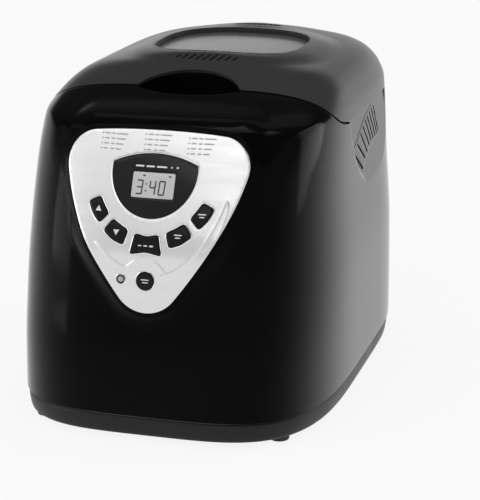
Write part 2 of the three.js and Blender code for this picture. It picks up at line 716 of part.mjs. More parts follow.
// A polygon with rounded corners.
function roundedPolygon(points, radius) {
  const shape = new THREE.Shape();
  points.forEach((point, i) => {
    const before = points[(i + points.length - 1) % points.length];
    const after = points[(i + 1) % points.length];
    const towards = (other) => {
      const step = other.clone().sub(point);
      return point.clone().add(step.setLength(Math.min(radius, step.length() * 0.45)));
    };
    const [enter, leave] = [towards(before), towards(after)];
    if (i === 0) shape.moveTo(enter.x, enter.y);
    else shape.lineTo(enter.x, enter.y);
    shape.quadraticCurveTo(point.x, point.y, leave.x, leave.y);
  });
  shape.closePath();
  return shape;
}

// A button outline on the arc round the display; hollow draws in the middle of both long edges.
function buttonShape(turn, sweep, inner, outer, hollow, grow) {
  const spread = sweep + THREE.MathUtils.radToDeg(grow / buttonOuter);
  const at = (radius, angle) => {
    const direction = radians(angle - 90);
    return new THREE.Vector2(radius * Math.cos(direction), radius * Math.sin(direction));
  };
  return roundedPolygon([
    at(inner - grow, turn - spread), at(inner - grow + hollow * 0.3, turn), at(inner - grow, turn + spread),
    at(outer + grow, turn + spread), at(outer + grow - hollow, turn), at(outer + grow, turn - spread)], 3.2);
}

const circleAt = (x, z, radius) => {
  const shape = new THREE.Shape();
  shape.absarc(x, z, radius, 0, 2 * Math.PI);
  return shape;
};

const arcButtons = [
  { name: 'button_time_up', turn: -54, sweep: buttonSweep, outer: buttonOuter, hollow: -0.8 },
  { name: 'button_time_down', turn: -28.5, sweep: buttonSweep + 0.5, outer: buttonOuter + 1, hollow: -0.8 },
  { name: 'button_loaf_size', turn: 0, sweep: buttonMiddleSweep, outer: buttonMiddleOuter, hollow: 3.4 },
  { name: 'button_options', turn: 28.5, sweep: buttonSweep + 0.5, outer: buttonOuter + 1, hollow: -0.8 },
  { name: 'button_crust', turn: 54, sweep: buttonSweep, outer: buttonOuter, hollow: -0.8 }];

const outlineOf = (button, grow) => (
  buttonShape(button.turn, button.sweep, buttonInner, button.outer, button.hollow, grow));

// The layer between two depths behind the panel face.
const panelLayer = (fromDepth, toDepth) => (
  panelSlab(fromDepth, panelBackY).subtract(panelSlab(toDepth, panelBackY + 10)));

function arcButton(button) {
  const cap = throughPanel(outlineOf(button, 0), -20, buttonDepth)
    .intersect(panelSlab(-buttonProud, panelBackY));
  const flangeTop = fasciaThickness + fit + 0.3;
  const flange = throughPanel(outlineOf(button, buttonFlange), -20, boardDepth)
    .intersect(panelLayer(flangeTop, flangeTop + 1.6));
  const middle = (buttonInner + button.outer) / 2;
  const turn = radians(button.turn);
  const stemShape = circleAt(middle * Math.sin(turn), -middle * Math.cos(turn), 2.5);
  const stem = throughPanel(stemShape, 5, boardDepth - buttonTravel - fit, 5);
  return joined([cap, flange, stem]);
}

function displayWindowShape(grow) {
  const crownCentre = windowCrownZ - windowCrownRadius - dialZ;
  const crownR = windowCrownRadius + grow;
  const radius = windowRadius + grow;
  const meetZ = (crownR ** 2 - radius ** 2 - crownCentre ** 2) / (-2 * crownCentre);
  const meetX = Math.sqrt(radius ** 2 - meetZ ** 2);
  const shape = new THREE.Shape();
  shape.absarc(0, 0, radius, Math.atan2(meetZ, -meetX), Math.atan2(meetZ, meetX), false);
  const side = Math.atan2(meetZ - crownCentre, meetX);
  shape.absarc(0, crownCentre, crownR, side, Math.PI - side, false);
  shape.closePath();
  return shape;
}

const fasciaPosts = [[50, 18.5, 4], [26, -73.5, 8.2]];

function fascia() {
  const outline = alongY(shieldShape(shieldFascia), panelY - 90, panelY + 52);
  const posts = fasciaPosts.flatMap(([x, z, start]) => sides.map((side) => (
    throughPanel(circleAt(side * x, z, 3), start, boardDepth - fit, 5))));
  const plateSolid = panelLayer(0, fasciaThickness).intersect(outline).add(joined(posts));
  return without(plateSolid, [
    throughPanel(displayWindowShape(0), -20, 12, 8),
    ...arcButtons.map((button) => throughPanel(outlineOf(button, runningGap), -20, 12)),
    alongY(circleAt(0, startZ, startRadius + runningGap), panelY - 60, panelY, 10),
    alongY(circleAt(lightX, startZ, lightRadius + fit), panelY - 60, panelY, 8)]);
}

function displayWindow() {
  return panelLayer(0.5, 2.8).intersect(throughPanel(displayWindowShape(-fit), -20, 20, 8));
}

function panelBox(halfX, lowZ, highZ, fromDepth, toDepth) {
  const shape = new THREE.Shape([new THREE.Vector2(-halfX, lowZ), new THREE.Vector2(halfX, lowZ),
    new THREE.Vector2(halfX, highZ), new THREE.Vector2(-halfX, highZ)]);
  return throughPanel(shape, fromDepth, toDepth);
}

const displayModule = () => panelBox(displayWidth / 2, -26.5, 2.5, 4, boardDepth - fit)
  .subtract(panelBox(displayWidth / 2 - 2, -24.5, 0.5, 8, boardDepth + 5));

function controlBoard() {
  const corners = [[-28, -79], [28, -79], [42, -63], [58, -26.5], [58, 20.5],
    [-58, 20.5], [-58, -26.5], [-42, -63]];
  const shape = new THREE.Shape(corners.map(([x, z]) => new THREE.Vector2(x, z)));
  return throughPanel(shape, boardDepth, boardDepth + boardThickness);
}

const startFaceY = faceY(startZ);

function startButton() {
  const flangeY = startFaceY + fasciaThickness + buttonTravel;
  return joined([
    alongY(circleAt(0, startZ, startRadius), startFaceY - buttonProud, startFaceY + 7, 10),
    alongY(circleAt(0, startZ, startRadius + buttonFlange), flangeY, flangeY + 1.5, 10)]);
}

function powerLight() {
  const boardY = panelY + (startZ - dialZ) * Math.tan(panelTilt) + boardDepth / Math.cos(panelTilt);
  return alongY(circleAt(lightX, startZ, lightRadius), startFaceY - 0.3, boardY - 2.6, 8);
}

// ---- oven ----
function rectRing(halfX, halfY, radius, z) {
  const points = roundedRect(halfX, halfY, radius, ovenY).getPoints(3);
  const last = points.length - 1;
  const open = points[0].distanceTo(points[last]) < 1e-6 ? points.slice(0, last) : points;
  return open.map((p) => new THREE.Vector3(p.x, p.y, z));
}

const ovenFloorZ = chassisTopZ + fit;

function ovenChamber() {
  const topZ = seamZ - seamGap / 2 + fit;
  const outerShape = roundedRect(ovenHalfX, ovenHalfY, ovenCorner, ovenY);
  const innerShape = roundedRect(ovenHalfX - sheet, ovenHalfY - sheet, ovenCorner - sheet, ovenY);
  const lipShape = roundedRect(ovenHalfX + ovenLip, ovenHalfY + ovenLip, ovenLipCorner, ovenY);
  const shell = plate(outerShape, ovenFloorZ, topZ + 0.1).add(plate(lipShape, topZ, topZ + 0.4 + 0.1));
  const cuts = [plate(innerShape, ovenFloorZ + sheet, topZ + 5), rod(0, ovenY, 40, 60, 16)];
  const frontY = ovenY - ovenHalfY;
  const bushHoles = sides.map((side) => rodY(side * elementTailX, frontY - 5, frontY + 5, elementZ, 5 + fit));
  return without(shell, [...cuts, ...bushHoles, rodY(40, frontY - 5, frontY + 5, 120, 2.8)]);
}

function heatingElement() {
  const path = new THREE.Path();
  const [front, rear] = [ovenY - elementHalfY, ovenY + elementHalfY];
  const [r, tail] = [elementCorner, 5];
  path.moveTo(-elementTailX, ovenY - ovenHalfY - 14);
  path.lineTo(-elementTailX, front - tail);
  path.absarc(-elementTailX - tail, front - tail, tail, 0, Math.PI / 2, false);
  path.absarc(-elementHalfX + r, front + r, r, -Math.PI / 2, -Math.PI, true);
  path.absarc(-elementHalfX + r, rear - r, r, Math.PI, Math.PI / 2, true);
  path.absarc(elementHalfX - r, rear - r, r, Math.PI / 2, 0, true);
  path.absarc(elementHalfX - r, front + r, r, 0, -Math.PI / 2, true);
  path.absarc(elementTailX + tail, front - tail, tail, Math.PI / 2, Math.PI, false);
  path.lineTo(elementTailX, ovenY - ovenHalfY - 14);
  const points = path.getSpacedPoints(80).map((p) => new THREE.Vector3(p.x, p.y, elementZ));
  return tube(new THREE.CatmullRomCurve3(points), elementRadius, 46, 6);
}

function elementBush(side) {
  const [x, frontY] = [side * elementTailX, ovenY - ovenHalfY];
  const collar = rodY(x, frontY - 7, frontY - fit, elementZ, 8, 14);
  return collar.add(rodY(x, frontY - 7, frontY + 1.5, elementZ, 5, 12))
    .subtract(rodY(x, frontY - 20, frontY + 20, elementZ, elementRadius + 2 * fit, 12));
}

function temperatureSensor() {
  const frontY = ovenY - ovenHalfY;
  return rodY(40, frontY - 8, frontY + 9, 120, 2.5, 12).add(rodY(40, frontY - 4, frontY - fit, 120, 6, 16));
}

const thermalFuse = () => rodY(-ovenHalfX - 3.3, ovenY - 12, ovenY + 12, 150, 3, 12);

const tubeRing = (outer, inner, z0, z1, segments = 28) => (
  rod(0, ovenY, z0, z1, outer, outer, segments)
    .subtract(rod(0, ovenY, z0 - 1, z1 + 1, inner, inner, segments)));

const seatInner = 37;
const panFootOuter = seatInner - 0.5;
const panSeat = () => tubeRing(seatInner + 7, seatInner, ovenFloorZ + sheet + fit, 64);
const panFoot = () => tubeRing(panFootOuter, panFootOuter - 4, 55, panBottomZ - fit);

// ---- bread pan ----
const bailPivotZ = panTopZ - bailPivotBelow;
const bailArmX = panHalfX + panRim + bailRadius + bailRimGap;
const bailRest = Math.asin((bailPivotBelow + bailRadius + fit + 0.3) / bailReach);

function breadPan() {
  const outer = loft([
    rectRing(panHalfX - panTaper, panHalfY - panTaper, panCorner - 8, panBottomZ),
    rectRing(panHalfX, panHalfY, panCorner, panTopZ)]);
  const rim = plate(roundedRect(panHalfX + panRim, panHalfY + panRim, panCorner + panRim, ovenY),
    panTopZ - 2, panTopZ);
  const lowWall = panTaper + panWall;
  const hollow = loft([
    rectRing(panHalfX - lowWall, panHalfY - lowWall, panCorner - 8 - panWall, panBottomZ + 2),
    rectRing(panHalfX - panWall, panHalfY - panWall, panCorner - panWall, panTopZ + 0.5)]);
  const ears = sides.map((side) => {
    const [x0, x1] = knuckleEnds(side, panHalfX - 1.2, bailArmX - bailRadius - 1.2);
    return rodX(x0, x1, ovenY, bailPivotZ, 6);
  });
  const bores = sides.map((side) => {
    const [x0, x1] = knuckleEnds(side, panHalfX + 0.8, bailArmX + 5);
    return rodX(x0, x1, ovenY, bailPivotZ, bailRadius + fit);
  });
  return without(outer.add(rim).subtract(hollow).add(joined(ears)), [...bores, rod(0, ovenY, 70, 90, 9)]);
}

function panHandle() {
  const corner = 10;
  const path = new THREE.Path();
  path.moveTo(-bailArmX, 0);
  path.lineTo(-bailArmX, bailReach - corner);
  path.quadraticCurveTo(-bailArmX, bailReach, -bailArmX + corner, bailReach);
  path.lineTo(bailArmX - corner, bailReach);
  path.quadraticCurveTo(bailArmX, bailReach, bailArmX, bailReach - corner);
  path.lineTo(bailArmX, 0);
  const points = path.getSpacedPoints(60).map((p) => new THREE.Vector3(p.x, p.y, 0));
  const section = new THREE.Shape();
  section.absarc(0, 0, bailRadius, 0, 2 * Math.PI);
  const geometry = new THREE.ExtrudeGeometry(section,
    { extrudePath: new THREE.CatmullRomCurve3(points), steps: 40, curveSegments: 3 });
  geometry.rotateX(bailRest);
  geometry.translate(0, ovenY, bailPivotZ);
  const pins = sides.map((side) => {
    const [x0, x1] = knuckleEnds(side, panHalfX + 1.4, bailArmX + 0.5);
    return rodX(x0, x1, ovenY, bailPivotZ, bailRadius, 12);
  });
  return solid(geometry).add(joined(pins));
}

const paddleZ = panBottomZ + 2.8;

function kneadingPaddle() {
  const hub = turned([
    [0, paddleZ], [9.5, paddleZ], [8, paddleZ + 21], [6, paddleZ + 23], [0, paddleZ + 23]], 0, ovenY);
  const blade = new THREE.Shape();
  blade.moveTo(4, paddleZ);
  blade.lineTo(44, paddleZ);
  blade.quadraticCurveTo(48, paddleZ + 2, 46, paddleZ + 7);
  blade.bezierCurveTo(38, paddleZ + 22, 22, paddleZ + 20, 4, paddleZ + 21);
  blade.closePath();
  const bladeSolid = alongY(blade, ovenY - 2.2, ovenY + 2.2);
  return hub.add(bladeSolid).subtract(rod(0, ovenY, 60, paddleZ + 18, shaftRadius + fit));
}

const panBush = () => tubeRing(8.7, shaftRadius + fit, panBottomZ - 3, panBottomZ + 2.4, 24);
const panSpindle = () => rod(0, ovenY, 60.4, paddleZ + 17.5, shaftRadius);
const couplingZ = 60;

function panCoupling() {
  const bar = box(-15, 15, ovenY - 3, ovenY + 3, couplingZ, couplingZ + 6);
  const hub = rod(0, ovenY, couplingZ, couplingZ + 9, 8.5);
  return bar.add(hub).subtract(rod(0, ovenY, couplingZ + 0.1 - 5, couplingZ + 20, shaftRadius + fit));
}

// ---- drive ----
function driveCoupler() {
  const hub = turned([[0, 52.6], [9, 52.6], [9, 56], [15.5, 56], [15.5, 58], [0, 58]], 0, ovenY);
  const dogs = [-1, 1].map((side) => rod(side * 11, ovenY + side * 6.2, 57, 65, 2.5, 2.2, 16));
  return hub.add(joined(dogs)).subtract(rod(0, ovenY, 40, 57, shaftRadius + fit));
}

const driveShaft = () => rod(0, ovenY, 14, 56.6, shaftRadius);

function bearingHousing() {
  const under = chassisTopZ - chassisThickness - fit;
  return turned([
    [0, 35], [14, 35], [15, 36], [15, 43], [26, 44.5], [26, under], [12, under], [12, 51.4], [0, 51.4]],
    0, ovenY).subtract(rod(0, ovenY, 20, 60, shaftRadius + fit));
}

function largePulley() {
  const top = pulleyZ + pulleyHeight;
  const wheel = turned([
    [0, pulleyZ - 2], [10, pulleyZ - 2], [10, pulleyZ + 4], [pulleyRadius - 5, pulleyZ + 4],
    [pulleyRadius - 5, pulleyZ], [pulleyRadius, pulleyZ], [pulleyRadius, top], [pulleyRadius - 5, top],
    [pulleyRadius - 5, pulleyZ + 7], [10, pulleyZ + 7], [10, 34.5], [0, 34.5]], 0, ovenY, 28);
  const holes = Array.from({ length: 5 }, (_, i) => {
    const angle = 2 * Math.PI * i / 5;
    return rod(30 * Math.cos(angle), ovenY + 30 * Math.sin(angle), 0, 50, 10, 10, 10);
  });
  return without(wheel, [...holes, rod(0, ovenY, 0, 60, shaftRadius + fit)]);
}

// The loop round both pulleys at a distance from their rims.
function beltLoop(gap) {
  const span = ovenY - motorY;
  const [big, small] = [pulleyRadius + gap, motorPulleyRadius + gap];
  const lean = Math.asin((big - small) / span);
  const shape = new THREE.Shape();
  shape.absarc(0, ovenY, big, -lean, Math.PI + lean, false);
  shape.absarc(0, motorY, small, Math.PI + lean, 2 * Math.PI - lean, false);
  shape.closePath();
  return shape;
}

function driveBelt() {
  const z0 = pulleyZ + (pulleyHeight - beltHeight) / 2;
  return plate(beltLoop(fit + beltThickness), z0, z0 + beltHeight, 10)
    .subtract(plate(beltLoop(fit), z0 - 1, z0 + beltHeight + 1, 10));
}

const motorShaftRadius = 3;
const motorZ = chassisTopZ + fit + 1.6 + fit;
const motorPulleyTop = pulleyZ + pulleyHeight;
const motorPulley = () => turned([
  [0, pulleyZ - 2], [motorPulleyRadius + 2, pulleyZ - 2], [motorPulleyRadius + 2, pulleyZ - 0.5],
  [motorPulleyRadius, pulleyZ], [motorPulleyRadius, motorPulleyTop], [6, motorPulleyTop + 3],
  [0, motorPulleyTop + 3]], 0, motorY, 20)
  .subtract(rod(0, motorY, 0, 60, motorShaftRadius + fit));
const motorShaft = () => rod(0, motorY, pulleyZ - 3, motorZ + motorHeight - 8, motorShaftRadius);
const motorBody = () => turned([[0, motorZ], [motorRadius - 3, motorZ], [motorRadius, motorZ + 3],
  [motorRadius, motorZ + motorHeight - 16], [motorRadius - 10, motorZ + motorHeight - 12],
  [motorRadius - 16, motorZ + motorHeight], [0, motorZ + motorHeight]], 0, motorY, 28)
  .subtract(rod(0, motorY, 40, motorZ + motorHeight - 6, motorShaftRadius + fit));

function motorBracket() {
  const shape = roundedRect(50, 50, 8, motorY);
  return plate(shape, chassisTopZ + fit, chassisTopZ + fit + 1.6).subtract(rod(0, motorY, 40, 60, 12));
}

function chassis() {
  const shape = new THREE.Shape([[-62, chassisFrontY], [62, chassisFrontY], [chassisHalfX, motorY + 37],
    [chassisHalfX, chassisRearY], [-chassisHalfX, chassisRearY], [-chassisHalfX, motorY + 37]]
    .map(([x, y]) => new THREE.Vector2(x, y)));
  const base = plate(shape, chassisTopZ - chassisThickness, chassisTopZ);
  const screwHoles = sides.flatMap((side) => [postFrontY, postRearY]
    .map((y) => rod(side * postX, y, 40, 60, 2.3)));
  return without(base, [rod(0, ovenY, 40, 60, 12 + fit), rod(0, motorY, 40, 60, 10), ...screwHoles]);
}

const powerBoard = () => box(-106, -104.4, motorY + 37, motorY + 84, chassisTopZ + fit, 126);
const motorCapacitor = () => rod(74, motorY, chassisTopZ + fit, 98, 15, 15, 24);

const glandRearY = lineAt(rearLine, glandZ) - 0.8;

function cordGland() {
  const [x, z, rearY] = [glandX, glandZ, glandRearY];
  return rodY(x, rearY - 8, rearY, z, 6.5).add(rodY(x, rearY - 7, rearY - wall - 1.1, z, 10))
    .subtract(rodY(x, rearY - 20, rearY + 20, z, 3.4, 10));
}

// ---- assembly ----
const glandHole = () => rodY(glandX, glandRearY - 50, glandRearY + 50, glandZ, 6.5 + fit, 14);
add('body_shell', bodyShell().subtract(glandHole()), gloss, 0.15);
add('base_tray', baseTray(), satin, 0.5);
const footNames = ['foot_front_left', 'foot_rear_left', 'foot_front_right', 'foot_rear_right'];
footPlaces().forEach(([x, y], i) => add(footNames[i], turned(footProfile, x, y, 12), 0x161616, 0.9));
add('cord_gland', cordGland(), 0x161616, 0.8);
add('lid_shell', lidShell(), gloss, 0.15);
add('lid_window_glass', windowGlass(), 0x777777, 0.05);
add('lid_liner', lidLiner(), steel, 0.4, 0.8);
add('lid_gasket', lidGasket(), 0xb0a898, 0.9);
sides.forEach((side) => {
  const reach = knuckleLength / 2 + fit + earLength;
  const pin = rodX(side * hingeX - reach, side * hingeX + reach, hingeY, seamZ, hingePinRadius, 12);
  add(side < 0 ? 'hinge_pin_left' : 'hinge_pin_right', pin, steel, 0.3, 1);
});
add('fascia', fascia(), silver, 0.25, 0.6);
add('display_window', displayWindow(), 0x202020, 0.05);
add('display_module', displayModule(), 0xa8b0a8, 0.4);
add('control_board', controlBoard(), 0x2c5a38, 0.6);
arcButtons.forEach((button) => add(button.name, arcButton(button), gloss, 0.1));
add('button_start', startButton(), gloss, 0.1);
add('power_light', powerLight(), 0xa0a0a0, 0.2);
add('oven_chamber', ovenChamber(), steel, 0.35, 0.9);
add('heating_element', heatingElement(), 0x6a6a6c, 0.5, 0.8);
add('element_bush_left', elementBush(-1), 0xe8e4da, 0.6);
add('element_bush_right', elementBush(1), 0xe8e4da, 0.6);
add('temperature_sensor', temperatureSensor(), steel, 0.3, 1);
add('thermal_fuse', thermalFuse(), silver, 0.4, 0.5);
add('pan_seat', panSeat(), steel, 0.4, 0.9);
add('bread_pan', breadPan(), 0x3a3a3c, 0.45, 0.5);
add('pan_foot', panFoot(), steel, 0.4, 0.9);
add('pan_bush', panBush(), 0xb08040, 0.4, 0.9);
add('pan_handle', panHandle(), steel, 0.25, 1);
add('pan_spindle', panSpindle(), steel, 0.25, 1);
add('pan_coupling', panCoupling(), steel, 0.35, 0.9);
add('kneading_paddle', kneadingPaddle(), 0x3a3a3c, 0.45, 0.5);
add('drive_coupler', driveCoupler(), steel, 0.35, 0.9);
add('drive_shaft', driveShaft(), steel, 0.2, 1);
add('bearing_housing', bearingHousing(), 0x8c8c8c, 0.5, 0.8);
add('large_pulley', largePulley(), 0xd0d0c8, 0.6);
add('drive_belt', driveBelt(), 0x141414, 0.9);
add('motor_pulley', motorPulley(), silver, 0.4, 0.8);
add('motor_shaft', motorShaft(), steel, 0.2, 1);
add('motor_body', motorBody(), 0x707478, 0.5, 0.8);
add('motor_bracket', motorBracket(), steel, 0.4, 0.9);
add('motor_capacitor', motorCapacitor(), 0xe8e8e4, 0.5);
add('power_board', powerBoard(), 0x2c5a38, 0.6);
add('chassis', chassis(), steel, 0.4, 0.9);

export default parts;
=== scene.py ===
"""Bread machine: the dressed model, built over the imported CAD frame."""

import math

import bmesh
import bpy
import numpy as np
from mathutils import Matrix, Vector
from mathutils.geometry import delaunay_2d_cdt


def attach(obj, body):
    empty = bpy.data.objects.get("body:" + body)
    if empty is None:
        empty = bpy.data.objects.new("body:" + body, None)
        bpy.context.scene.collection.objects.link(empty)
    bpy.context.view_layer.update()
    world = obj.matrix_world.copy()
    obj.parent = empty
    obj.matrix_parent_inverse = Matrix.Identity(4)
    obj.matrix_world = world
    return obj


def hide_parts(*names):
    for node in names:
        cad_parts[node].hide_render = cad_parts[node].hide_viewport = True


bl_info = {
    "name": "Bread Machine",
    "version": (1, 0, 0),
    "blender": (4, 5, 0),
    "location": "View3D > Sidebar > Bread Machine",
    "description": "Builds a bread machine with a moulded housing, hinged lid and control panel",
    "category": "Add Mesh",
}

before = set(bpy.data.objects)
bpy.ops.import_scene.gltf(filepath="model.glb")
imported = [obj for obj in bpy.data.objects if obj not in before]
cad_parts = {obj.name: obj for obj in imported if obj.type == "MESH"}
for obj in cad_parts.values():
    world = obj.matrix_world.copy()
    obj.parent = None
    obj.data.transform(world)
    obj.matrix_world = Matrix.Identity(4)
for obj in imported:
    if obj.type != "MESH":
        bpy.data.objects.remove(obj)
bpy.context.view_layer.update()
MM = 0.001

# ---------------------------------------------------------------- form of the housing, in millimetres

HALF_WIDTH = [(0, 143.5), (60, 143.2), (120, 142.5), (200, 137.5), (262, 133.5), (276, 127.6),
              (286, 118), (293, 103), (300, 58), (308, 6)]
FRONT = [(0, 203.5), (60, 203.5), (120, 195.3), (190, 184.5), (225, 172.5), (252, 157.5), (262, 149),
         (270, 128), (280, 94), (290, 63), (300, 27.5), (305, 5), (308, -10)]
REAR = [(0, 203.5), (60, 203.5), (120, 201.4), (180, 199), (285, 198.3), (294, 196), (300, 187),
        (305, 166), (308, 148)]
FORM_TOP, FORM_WAIST, FORM_CENTRE = 308.0, 180.0, 10.0
FRONT_POWER, REAR_POWER = 3.8, 5.6
SEAM_FRONT, SEAM_TURN, SEAM_FLAT, SEAM_Z = -79.0, 278.0, -22.0, 251.5
PANEL_TILT, CHIN_TILT = math.radians(24), math.radians(3.15)
PANEL_Y, DIAL_Z, BEND_Z, BEND_RADIUS, PANEL_BOW = -172.5, 231.5, 172.6, 60.0, 417.0
GRIP_CENTRE, GRIP_RADIUS = -98.0, 51.0
WINDOW_Y, WINDOW_X_HALF, WINDOW_Y_HALF, WINDOW_RIM, WINDOW_POWER = 65.0, 68.0, 66.5, 304.6, 3.1
HINGE_X, HINGE_Y, HINGE_RADIUS = 56.0, 198.8, 4.2


def line_at(line, z):
    """Smooth value through (height, value) points that never overshoots between them."""
    zs, vs = np.array(line, float).T
    slope = np.diff(vs) / np.diff(zs)
    tangent = np.empty_like(vs)
    tangent[0], tangent[-1] = slope[0], slope[-1]
    a, b = slope[:-1], slope[1:]
    with np.errstate(divide="ignore", invalid="ignore"):
        tangent[1:-1] = np.where(a * b > 0, 2 * a * b / (a + b), 0)
    z = np.clip(np.asarray(z, float), zs[0], zs[-1])
    k = np.clip(np.searchsorted(zs, z, "right") - 1, 0, len(zs) - 2)
    h = zs[k + 1] - zs[k]
    t = (z - zs[k]) / h
    rise = vs[k] * (2 * t**3 - 3 * t**2 + 1) + vs[k + 1] * (3 * t**2 - 2 * t**3)
    return rise + h * (tangent[k] * (t**3 - 2 * t**2 + t) + tangent[k + 1] * (t**3 - t**2))


def eased(share):
    """A share from 0 to 1 with a soft start and end."""
    return share * share * (3 - 2 * share)


def signed_power(value, power):
    return np.sign(value) * np.abs(value) ** power


def reach_at(front, z, inset):
    """Reach of the form from its centre line towards the front or the rear."""
    return np.where(front, line_at(FRONT, z) + FORM_CENTRE, line_at(REAR, z) - FORM_CENTRE) - inset


def form_point(turn, z, inset=0.0):
    """Points of the housing form at angles round it and heights, drawn in by an inset."""
    c, s = np.cos(turn), np.sin(turn)
    power = np.where(s < 0, 2 / FRONT_POWER, 2 / REAR_POWER)
    x = (line_at(HALF_WIDTH, z) - inset) * signed_power(c, power)
    y = FORM_CENTRE + reach_at(s < 0, z, inset) * signed_power(s, power)
    return x, y


def form_height(x, y):
    """Height of the form's top over a plan point, by halving."""
    low, high = np.full(np.shape(x), FORM_WAIST), np.full(np.shape(x), FORM_TOP)
    front = y < FORM_CENTRE
    power = np.where(front, FRONT_POWER, REAR_POWER)
    for _ in range(36):
        z = (low + high) / 2
        reach = np.maximum(reach_at(front, z, 0.0), 0.1)
        across = (np.abs(x) / line_at(HALF_WIDTH, z)) ** power
        inside = across + (np.abs(y - FORM_CENTRE) / reach) ** power < 1
        low, high = np.where(inside, z, low), np.where(inside, high, z)
    return (low + high) / 2


def above_seam(y, z, gap):
    """Whether points of the side view lie over the lid seam, moved up and back by a gap."""
    back = (y - SEAM_FLAT) / (SEAM_FLAT - SEAM_FRONT - gap)
    down = (z - SEAM_TURN) / (SEAM_TURN - SEAM_Z - gap)
    low = np.where(y >= SEAM_FLAT, z > SEAM_Z + gap, back**2 + down**2 < 1)
    return (y > SEAM_FRONT + gap) & ((z >= SEAM_TURN) | low)


def face_y(x, z):
    """Panel face, with its bend rounded and its sides bowed back."""
    x, z = np.asarray(x, float), np.asarray(z, float)
    slope, chin_slope = math.tan(PANEL_TILT), math.tan(CHIN_TILT)
    tilted = PANEL_Y + (z - DIAL_Z) * slope
    chin = PANEL_Y + (BEND_Z - DIAL_Z) * slope + (z - BEND_Z) * chin_slope
    soft = BEND_RADIUS * math.tan((PANEL_TILT - CHIN_TILT) / 2) * (slope - chin_slope)
    gap = np.clip(soft - np.abs(tilted - chin), 0, None)
    return np.maximum(tilted, chin) + gap**2 / (4 * soft) + x**2 / (2 * PANEL_BOW)


def soft_min(a, b, reach):
    """The lower of two heights, blended where they are closer than a reach."""
    blend = np.clip(reach - np.abs(a - b), 0, None)
    return np.minimum(a, b) - blend**2 / (4 * reach)


# ---------------------------------------------------------------- outlines

def arc(cx, cy, radius, start, end, count):
    turns = np.radians(np.linspace(start, end, count))
    return np.column_stack([cx + radius * np.cos(turns), cy + radius * np.sin(turns)])


def quad_curve(a, b, c, count):
    t = np.linspace(0, 1, count)[:, None]
    return (1 - t) ** 2 * np.array(a) + 2 * t * (1 - t) * np.array(b) + t**2 * np.array(c)


def run_of(points):
    """Length along a line at each of its points."""
    return np.concatenate([[0], np.cumsum(np.linalg.norm(np.diff(points, axis=0), axis=1))])


def evenly(points, step):
    """The same closed outline with points a set distance apart."""
    loop = np.vstack([points, points[:1]]).astype(float)
    run = run_of(loop)
    keep = np.concatenate([[True], np.diff(run) > 1e-9])
    at = np.linspace(0, run[-1], max(int(round(run[-1] / step)), 8) + 1)
    return np.column_stack([np.interp(at, run[keep], loop[keep, k]) for k in (0, 1)])[:-1]


def offset(points, distance):
    """A closed anticlockwise outline moved outwards."""
    before, after = np.roll(points, 1, axis=0), np.roll(points, -1, axis=0)
    a, b = points - before, after - points
    a /= np.maximum(np.linalg.norm(a, axis=1, keepdims=True), 1e-9)
    b /= np.maximum(np.linalg.norm(b, axis=1, keepdims=True), 1e-9)
    normal = np.column_stack([(a + b)[:, 1], -(a + b)[:, 0]])
    normal /= np.maximum(np.linalg.norm(normal, axis=1, keepdims=True), 1e-9)
    stretch = 1 / np.clip(normal[:, 0] * a[:, 1] - normal[:, 1] * a[:, 0], 0.6, None)
    return points + normal * stretch[:, None] * distance


def anticlockwise(points):
    x, y = points.T
    area = np.sum(x * np.roll(y, -1) - np.roll(x, -1) * y)
    return points if area > 0 else points[::-1]


def rounded(points, radius, count=6):
    """A polygon with rounded corners."""
    points = np.asarray(points, float)
    out = []
    for i, p in enumerate(points):
        legs = []
        for q in (points[i - 1], points[(i + 1) % len(points)]):
            step = q - p
            length = np.linalg.norm(step)
            legs.append(p + step / length * min(radius, length * 0.45))
        out.append(quad_curve(legs[0], p, legs[1], count))
    return np.vstack(out)


def rectangle(wide, high, x=0.0, y=0.0):
    """Corners of a rectangle about its middle."""
    a, b = wide / 2, high / 2
    return np.array([(x - a, y - b), (x + a, y - b), (x + a, y + b), (x - a, y + b)])


def inside_outline(points, outline):
    """Which points lie inside a closed outline."""
    x, y = points[:, 0][:, None], points[:, 1][:, None]
    ax, ay = outline.T
    bx, by = np.roll(outline, -1, axis=0).T
    crosses = (ay > y) != (by > y)
    with np.errstate(divide="ignore", invalid="ignore"):
        at = (bx - ax) * (y - ay) / (by - ay) + ax
    return (np.sum(crosses & (x < at), axis=1) % 2) == 1


def between(points, outer, holes):
    """Which points lie inside an outline and outside its holes."""
    inside = inside_outline(points, outer)
    for hole in holes:
        inside &= ~inside_outline(points, hole)
    return inside


def path_gap(points, path):
    """Distance from points to the nearest leg of a path."""
    best = np.full(len(points), 1e9)
    for start, end in zip(path[:-1], path[1:]):
        leg = end - start
        t = np.clip((points - start) @ leg / max(leg @ leg, 1e-12), 0, 1)
        best = np.minimum(best, np.linalg.norm(points - start - t[:, None] * leg, axis=1))
    return best


def nearest(points, others):
    """Squared distance from each point to the nearest of the others."""
    gaps = [((points[at:at + 2000, None, :] - others[None]) ** 2).sum(axis=2).min(axis=1)
            for at in range(0, len(points), 2000)]
    return np.concatenate(gaps) if gaps else np.zeros(0)


